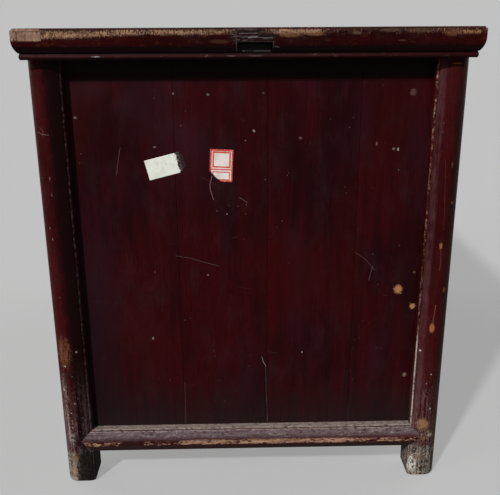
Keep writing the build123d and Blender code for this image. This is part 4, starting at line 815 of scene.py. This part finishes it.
def batten_with_painted_shade(seed):
    """The batten under the top, with painted shade on its end in the open mortise."""
    s = raw_surface("top_batten", "X", seed)
    end = s.step(s.absolute(s.x), cad_box[1].x - 0.016, cad_box[1].x - 0.012)
    # painted shade on the end, deep in the mortise
    s.cover(end, PAINTED_SHADE_BATTEN_END, 0.7)
    lay_marks(s, lines=BATTEN_LINES, level=TOP)
    return s.finish(specular=0.12, bump=0.5)


RAW_PALE, RAW_DEEP, STAIN = (0.3, 0.195, 0.115), (0.135, 0.075, 0.04), (0.07, 0.045, 0.03)


def raw_surface(node, axis, seed):
    """Unfinished wood of the inside, darkened by age."""
    s = Surface("wood_" + node)
    s.colour = bare_wood(s, axis, seed, RAW_PALE, RAW_DEEP)
    cloud = s.grain(axis, seed + 4, 0.5, 12.0, 5.0, 0.6)
    s.shade(s.step(cloud, 0.3, 0.7, 0.66, 1.12))
    pores = s.step(s.grain(axis, seed + 7, 0.02, 1500.0, 2.0), 0.6, 0.7)
    s.cover((pores, 0.6), RAW_DEEP, None, -0.5)
    stains = s.step(s.grain(axis, seed + 9, 0.8, 26.0, 6.0, 0.7), 0.6, 0.75)
    s.cover((stains, 0.5), STAIN)
    s.cover((edges(s, 0.0012), 0.4), tuple(c * 1.15 for c in RAW_PALE))
    s.roughness = 0.72
    s.height = s.plus(s.height, s.grain(axis, seed, 0.04, 520.0, 4.0, 0.6))
    return s


def raw_wood(node, axis, seed):
    return raw_surface(node, axis, seed).finish(specular=0.3, bump=0.5)


BRASS_DEEP, BRASS_PALE = (0.165, 0.098, 0.038), (0.44, 0.305, 0.115)
VERDIGRIS, POLISHED = (0.085, 0.1, 0.062), (0.62, 0.45, 0.2)


def brass(node, seed):
    s = Surface("brass_" + node)
    cloud = s.grain("Z", seed, 1.0, 90.0, 6.0, 0.68)
    fine = s.grain("Z", seed + 4, 1.0, 700.0, 4.0, 0.65)
    brushed = s.grain("X", seed + 6, 0.06, 1400.0, 2.0)
    s.colour = s.mix(s.step(cloud, 0.34, 0.62), BRASS_DEEP, BRASS_PALE)
    s.shade(s.step(fine, 0.3, 0.7, 0.78, 1.18))
    s.roughness = s.step(cloud, 0.3, 0.65, 0.52, 0.3)
    s.height = s.weigh((brushed, 0.5), (cloud, 0.8))
    green = s.times(s.step(s.grain("Z", seed + 8, 1.0, 210.0, 5.0, 0.7), 0.62, 0.72), 0.6)
    s.cover(green, VERDIGRIS, 0.75)
    s.cover((edges(s, 0.0006), 0.6), POLISHED, 0.25)
    return s.finish(specular=0.5, metallic=1.0, bump=0.35, distance=0.0002)


# ---------------------------------------------------------------- paper
# each label: its middle as y and z, its turn, its size, its seed, how far its corners curl up, and its tears:
# a tear takes away what lies beyond a line, where a * across + b * up > c, in metres from the middle
WHITE_LABEL = dict(
    centre=(-0.0966, 0.4169), turn=math.radians(14), size=(0.046, 0.0238), seed=3, curl=0.0004,
    tears=((0.9, 0.5, 0.0235), (0.6, -0.9, 0.0192), (-0.7, 0.7, 0.0246)))
RED_LABEL = dict(
    centre=(-0.0332, 0.4164), turn=math.radians(-3), size=(0.027, 0.0378), seed=7, curl=0.0003,
    tears=((-0.66, -0.75, 0.0142), (0.8, -0.6, 0.0215)))
PAPER_CELL = 0.0005  # how long a face of a sheet is
PAPER_THICKNESS = 0.00016
WHITE_PAPER, WHITE_STAIN = (0.9, 0.91, 0.82), (0.74, 0.77, 0.68)
GREEN_TINGE, PINK_TINGE = (0.62, 0.8, 0.6), (0.86, 0.72, 0.74)
GLUE_DARK, GLUE_GREY, GLUE_FAR = (0.022, 0.012, 0.012), (0.21, 0.185, 0.175), (0.026, 0.012, 0.014)
RED_PAPER, RED_STAIN, RED_PRINT = (0.9, 0.82, 0.76), (0.76, 0.62, 0.56), (0.62, 0.06, 0.04)
# the printed lines of the red label, in metres from its middle: how high the middle of a frame is,
# its half width and half height, and how thick its line is
RED_FRAMES = (
    (0.0, 0.0126, 0.018, 0.0012),
    (0.007, 0.0096, 0.0085, 0.0009),
    (-0.0118, 0.0096, 0.0044, 0.0006),
)
RED_BAND = (-0.0052, -0.0036)


def label_map(s, label):
    """The place on a label, across and up from its middle."""
    away = s.vector("SUBTRACT", s.place, (0, *label["centre"]))
    cosine, sine = math.cos(label["turn"]), math.sin(label["turn"])
    across = s.vector("DOT_PRODUCT", away, (0, cosine, sine))
    upward = s.vector("DOT_PRODUCT", away, (0, -sine, cosine))
    return across, upward


def frame_line(s, across, upward, half_width, half_height, thickness):
    """A printed rectangular line."""
    over = s.minus(s.absolute(across), half_width)
    beyond = s.minus(s.absolute(upward), half_height)
    edge = s.absolute(s.larger(over, beyond))
    return s.step(edge, thickness * 1.3, thickness * 0.7)


def paper(name, seed, tint, stain):
    s = Surface(name)
    fibres = s.grain("Z", seed, 1.0, 1900.0, 4.0, 0.7)
    cloud = s.grain("Z", seed + 3, 1.0, 110.0, 5.0, 0.65)
    s.colour = s.mix(s.step(cloud, 0.45, 0.75), tint, stain)
    s.shade(s.step(fibres, 0.25, 0.75, 0.93, 1.06))
    s.roughness = 0.9
    s.height = s.plus(fibres, s.times(cloud, 1.5))
    return s


def white_paper():
    """White paper, and the glue that is left where a piece of it has gone."""
    s = paper("paper_white", WHITE_LABEL["seed"], WHITE_PAPER, WHITE_STAIN)
    across = label_map(s, WHITE_LABEL)[0]
    tint = s.noise(s.place, 170.0, 3.0, 0.6)
    s.cover((s.step(tint, 0.56, 0.66), 0.5), GREEN_TINGE)
    s.cover((s.step(tint, 0.42, 0.34), 0.5), PINK_TINGE)
    torn = s.jagged(across, s.noise(s.place, 420.0, 4.0, 0.7), 0.009)
    swirl = s.noise(s.place, 300.0, 3.0, 0.6, 2.5)
    glue = s.mix(s.step(swirl, 0.5, 0.62), GLUE_DARK, GLUE_GREY)
    glue = s.mix(s.step(torn, 0.015, 0.0195), glue, GLUE_FAR)
    s.cover(s.step(torn, 0.013, 0.0137), glue, 0.8)
    return s.finish(specular=0.1, bump=0.3, distance=0.0001)


def red_paper():
    """Paper with a plain printed frame."""
    s = paper("paper_red_frame", RED_LABEL["seed"], RED_PAPER, RED_STAIN)
    across, upward = label_map(s, RED_LABEL)
    lines = s.within(upward, *RED_BAND, 0.0002)
    for middle, *frame_size in RED_FRAMES:
        lines = s.larger(lines, frame_line(s, across, s.minus(upward, middle), *frame_size))
    worn = s.step(s.noise(s.place, 900.0, 4.0, 0.7), 0.3, 0.46)
    s.cover((lines, worn), RED_PRINT, 0.85)
    return s.finish(specular=0.1, bump=0.3, distance=0.0001)


def torn_label(name, label, material, node):
    """A thin sheet of paper with rough edges, some of them torn away, on the right-hand end."""
    (width, height), seed = label["size"], label["seed"]
    columns, rows = round(width / PAPER_CELL), round(height / PAPER_CELL)
    cosine, sine = math.cos(label["turn"]), math.sin(label["turn"])
    points, faces, index = [], [], {}

    def uneven(u, v, scale):
        return noise.noise(Vector((u, v, seed)) * scale)

    def corner(i, j):
        if (i, j) not in index:
            u, v = (i / columns - 0.5) * width, (j / rows - 0.5) * height
            edge = i in (0, columns) or j in (0, rows)
            shift = uneven(u, v, 900) * (0.00022 if edge else 0.00008)
            lift = 0.00012 + max(0.0, uneven(u, v, 90)) * 0.0004
            lift += label["curl"] * (abs(u / width) * 2) ** 6 * (abs(v / height) * 2) ** 4
            y = label["centre"][0] + (u + shift) * cosine - (v + shift) * sine
            z = label["centre"][1] + (u + shift) * sine + (v + shift) * cosine
            index[i, j] = len(points)
            points.append((END + lift, y, z))
        return index[i, j]

    for i in range(columns):
        for j in range(rows):
            u, v = ((i + 0.5) / columns - 0.5) * width, ((j + 0.5) / rows - 0.5) * height
            jag = uneven(u, v, 420) * 0.0012 + uneven(u, v, 1400) * 0.0005
            if not any(u * a + v * b > c + jag for a, b, c in label["tears"]):
                faces.append([corner(i, j), corner(i + 1, j), corner(i + 1, j + 1), corner(i, j + 1)])
    mesh = bpy.data.meshes.new(name)
    mesh.from_pydata(points, [], faces)
    mesh.shade_smooth()
    piece = new_object(name, mesh)
    thick = piece.modifiers.new("thickness", "SOLIDIFY")
    thick.thickness, thick.offset = PAPER_THICKNESS, -1
    mesh.materials.append(material)
    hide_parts(node)
    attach(piece, "carcass")


def make_labels():
    torn_label("paper_label_white", WHITE_LABEL, white_paper(), "white_label")
    torn_label("paper_label_red_frame", RED_LABEL, red_paper(), "red_label")


# ---------------------------------------------------------------- every node gets its finish
# words in the names of the pieces that run from end to end, that are of brass, and that are inside
LENGTHWISE = ("front_rail", "back_rail", "mid_rail", "back_upper", "back_lower", "floor_boards")
BRASS_PIECES = ("pull_plate", "pull_posts", "bail", "lock_plate", "eyes", "ring")
INSIDE = ("runners", "guide", "floor", "battens", "_sides", "_bottom")


def grain_of(node):
    """The axis that a piece's grain runs along."""
    if node.startswith("leg") or "stile" in node or "divider" in node or "back_battens" in node:
        return "Z"
    if "end_board" in node or (node.startswith("door") and node.endswith("panel")):
        return "Z"
    if any(word in node for word in LENGTHWISE):
        return "X"
    if node.startswith("door") or node.endswith(("_front", "_back", "top_batten")):
        return "X"
    return "Y"


def finish_of(node, seed):
    axis = grain_of(node)
    if node.endswith(BRASS_PIECES):
        return brass(node, seed)
    if node.startswith("leg"):
        return leg(node, seed)
    if node in WEAR_ALONG:
        return moulding(node, axis, seed)
    if "end_board" in node:
        return end_panel(node, seed)
    if node == "top_boards":
        return top_boards(seed)
    if node == "top_batten":
        return batten_with_painted_shade(seed)
    if node.startswith("bottom") or "mid_rail" in node:
        return rail(node, axis, seed)
    if any(word in node for word in INSIDE) or (node.startswith("drawer") and node.endswith("_back")):
        return raw_wood(node, axis, seed)
    s = lacquer(node, axis, seed, LEG_DEEP, LEG_WARM, wear=0.4, film=0.3)
    return s.finish(specular=0.12, bump=0.55)


def finish_nodes():
    for number, (node, piece) in enumerate(sorted(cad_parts.items())):
        if node in ("white_label", "red_label"):
            continue
        material = finish_of(node, float(number % 17) + number * 0.31)
        piece.data.materials.clear()
        piece.data.materials.append(material)


# ---------------------------------------------------------------- studio
PALE_GREY = (0.533, 0.533, 0.533)
SKY_LIGHT = 0.11
BOUNCE = 0.1  # how much light the floor throws back at the cabinet
FLOOR_GLOW = 0.6  # how much of the floor's look doesn't depend on the shadows on it
FLOOR_HALF = 60.0

# where the light comes from, the lamp's strength, and how wide it looks, in degrees
LAMPS = {
    "key": ((1.0, -0.65, 1.02), 3.1, 3.5),
    "soft_front": ((1.0, -2.0, 1.0), 0.55, 22.0),
    "fill_back": ((-0.6, 1.0, 0.4), 1.5, 50.0),
    "fill_front": ((-0.7, -1.0, 0.4), 1.3, 40.0),
}


def seen_ray(nodes, links):
    """1 for the rays that show the background: from the camera, off gloss and through glass."""
    path = nodes.new("ShaderNodeLightPath")
    seen = path.outputs["Is Camera Ray"]
    for ray in ("Is Glossy Ray", "Is Transmission Ray"):
        either = nodes.new("ShaderNodeMath")
        either.operation = "MAXIMUM"
        links.new(seen, either.inputs[0])
        links.new(path.outputs[ray], either.inputs[1])
        seen = either.outputs[0]
    return seen


def mixed_shader(nodes, links, factor, first, second, end):
    mix = nodes.new("ShaderNodeMixShader")
    links.new(factor, mix.inputs[0])
    links.new(first.outputs[0], mix.inputs[1])
    links.new(second.outputs[0], mix.inputs[2])
    links.new(mix.outputs[0], nodes.new(end).inputs[0])


def make_lamps():
    """Hang the lamps, and give back how much light reaches the open floor."""
    floor_light = SKY_LIGHT
    for name, (place, strength, width) in LAMPS.items():
        direction = Vector(place).normalized()
        data = bpy.data.lights.new(name, "SUN")
        data.energy, data.angle = strength, math.radians(width)
        lamp = new_object(name, data)
        lamp.rotation_mode = "QUATERNION"
        lamp.rotation_quaternion = direction.to_track_quat("Z", "Y")
        floor_light += strength * direction.z / math.pi
    return floor_light


def make_floor(light_on_it):
    """A floor that keeps some of the cabinet's shadow, and whose colour in the picture is the pale grey."""
    corners = [(x * FLOOR_HALF, y * FLOOR_HALF, 0) for x, y in ((-1, -1), (1, -1), (1, 1), (-1, 1))]
    mesh = bpy.data.meshes.new("floor")
    mesh.from_pydata(corners, [], [(0, 1, 2, 3)])
    floor = new_object("floor", mesh)
    material = bpy.data.materials.new("studio_floor")
    nodes, links = empty_tree(material)
    dark, pale = nodes.new("ShaderNodeBsdfDiffuse"), nodes.new("ShaderNodeBsdfDiffuse")
    dark.inputs[0].default_value = (BOUNCE, BOUNCE, BOUNCE, 1)
    pale.inputs[0].default_value = (*(c / light_on_it for c in PALE_GREY), 1)
    glow, softened = nodes.new("ShaderNodeEmission"), nodes.new("ShaderNodeMixShader")
    glow.inputs[0].default_value, softened.inputs[0].default_value = (*PALE_GREY, 1), FLOOR_GLOW
    links.new(pale.outputs[0], softened.inputs[1])
    links.new(glow.outputs[0], softened.inputs[2])
    mixed_shader(nodes, links, seen_ray(nodes, links), dark, softened, "ShaderNodeOutputMaterial")
    mesh.materials.append(material)


def make_world():
    world = bpy.data.worlds.new("studio")
    bpy.context.scene.world = world
    nodes, links = empty_tree(world)
    light, shown = nodes.new("ShaderNodeBackground"), nodes.new("ShaderNodeBackground")
    light.inputs[0].default_value, light.inputs[1].default_value = (1, 1, 1, 1), SKY_LIGHT
    shown.inputs[0].default_value, shown.inputs[1].default_value = (*PALE_GREY, 1), 1.0
    mixed_shader(nodes, links, seen_ray(nodes, links), light, shown, "ShaderNodeOutputWorld")


bpy.context.scene.view_settings.view_transform = "Standard"
make_camera()
make_floor(make_lamps())
make_world()
finish_nodes()
make_labels()
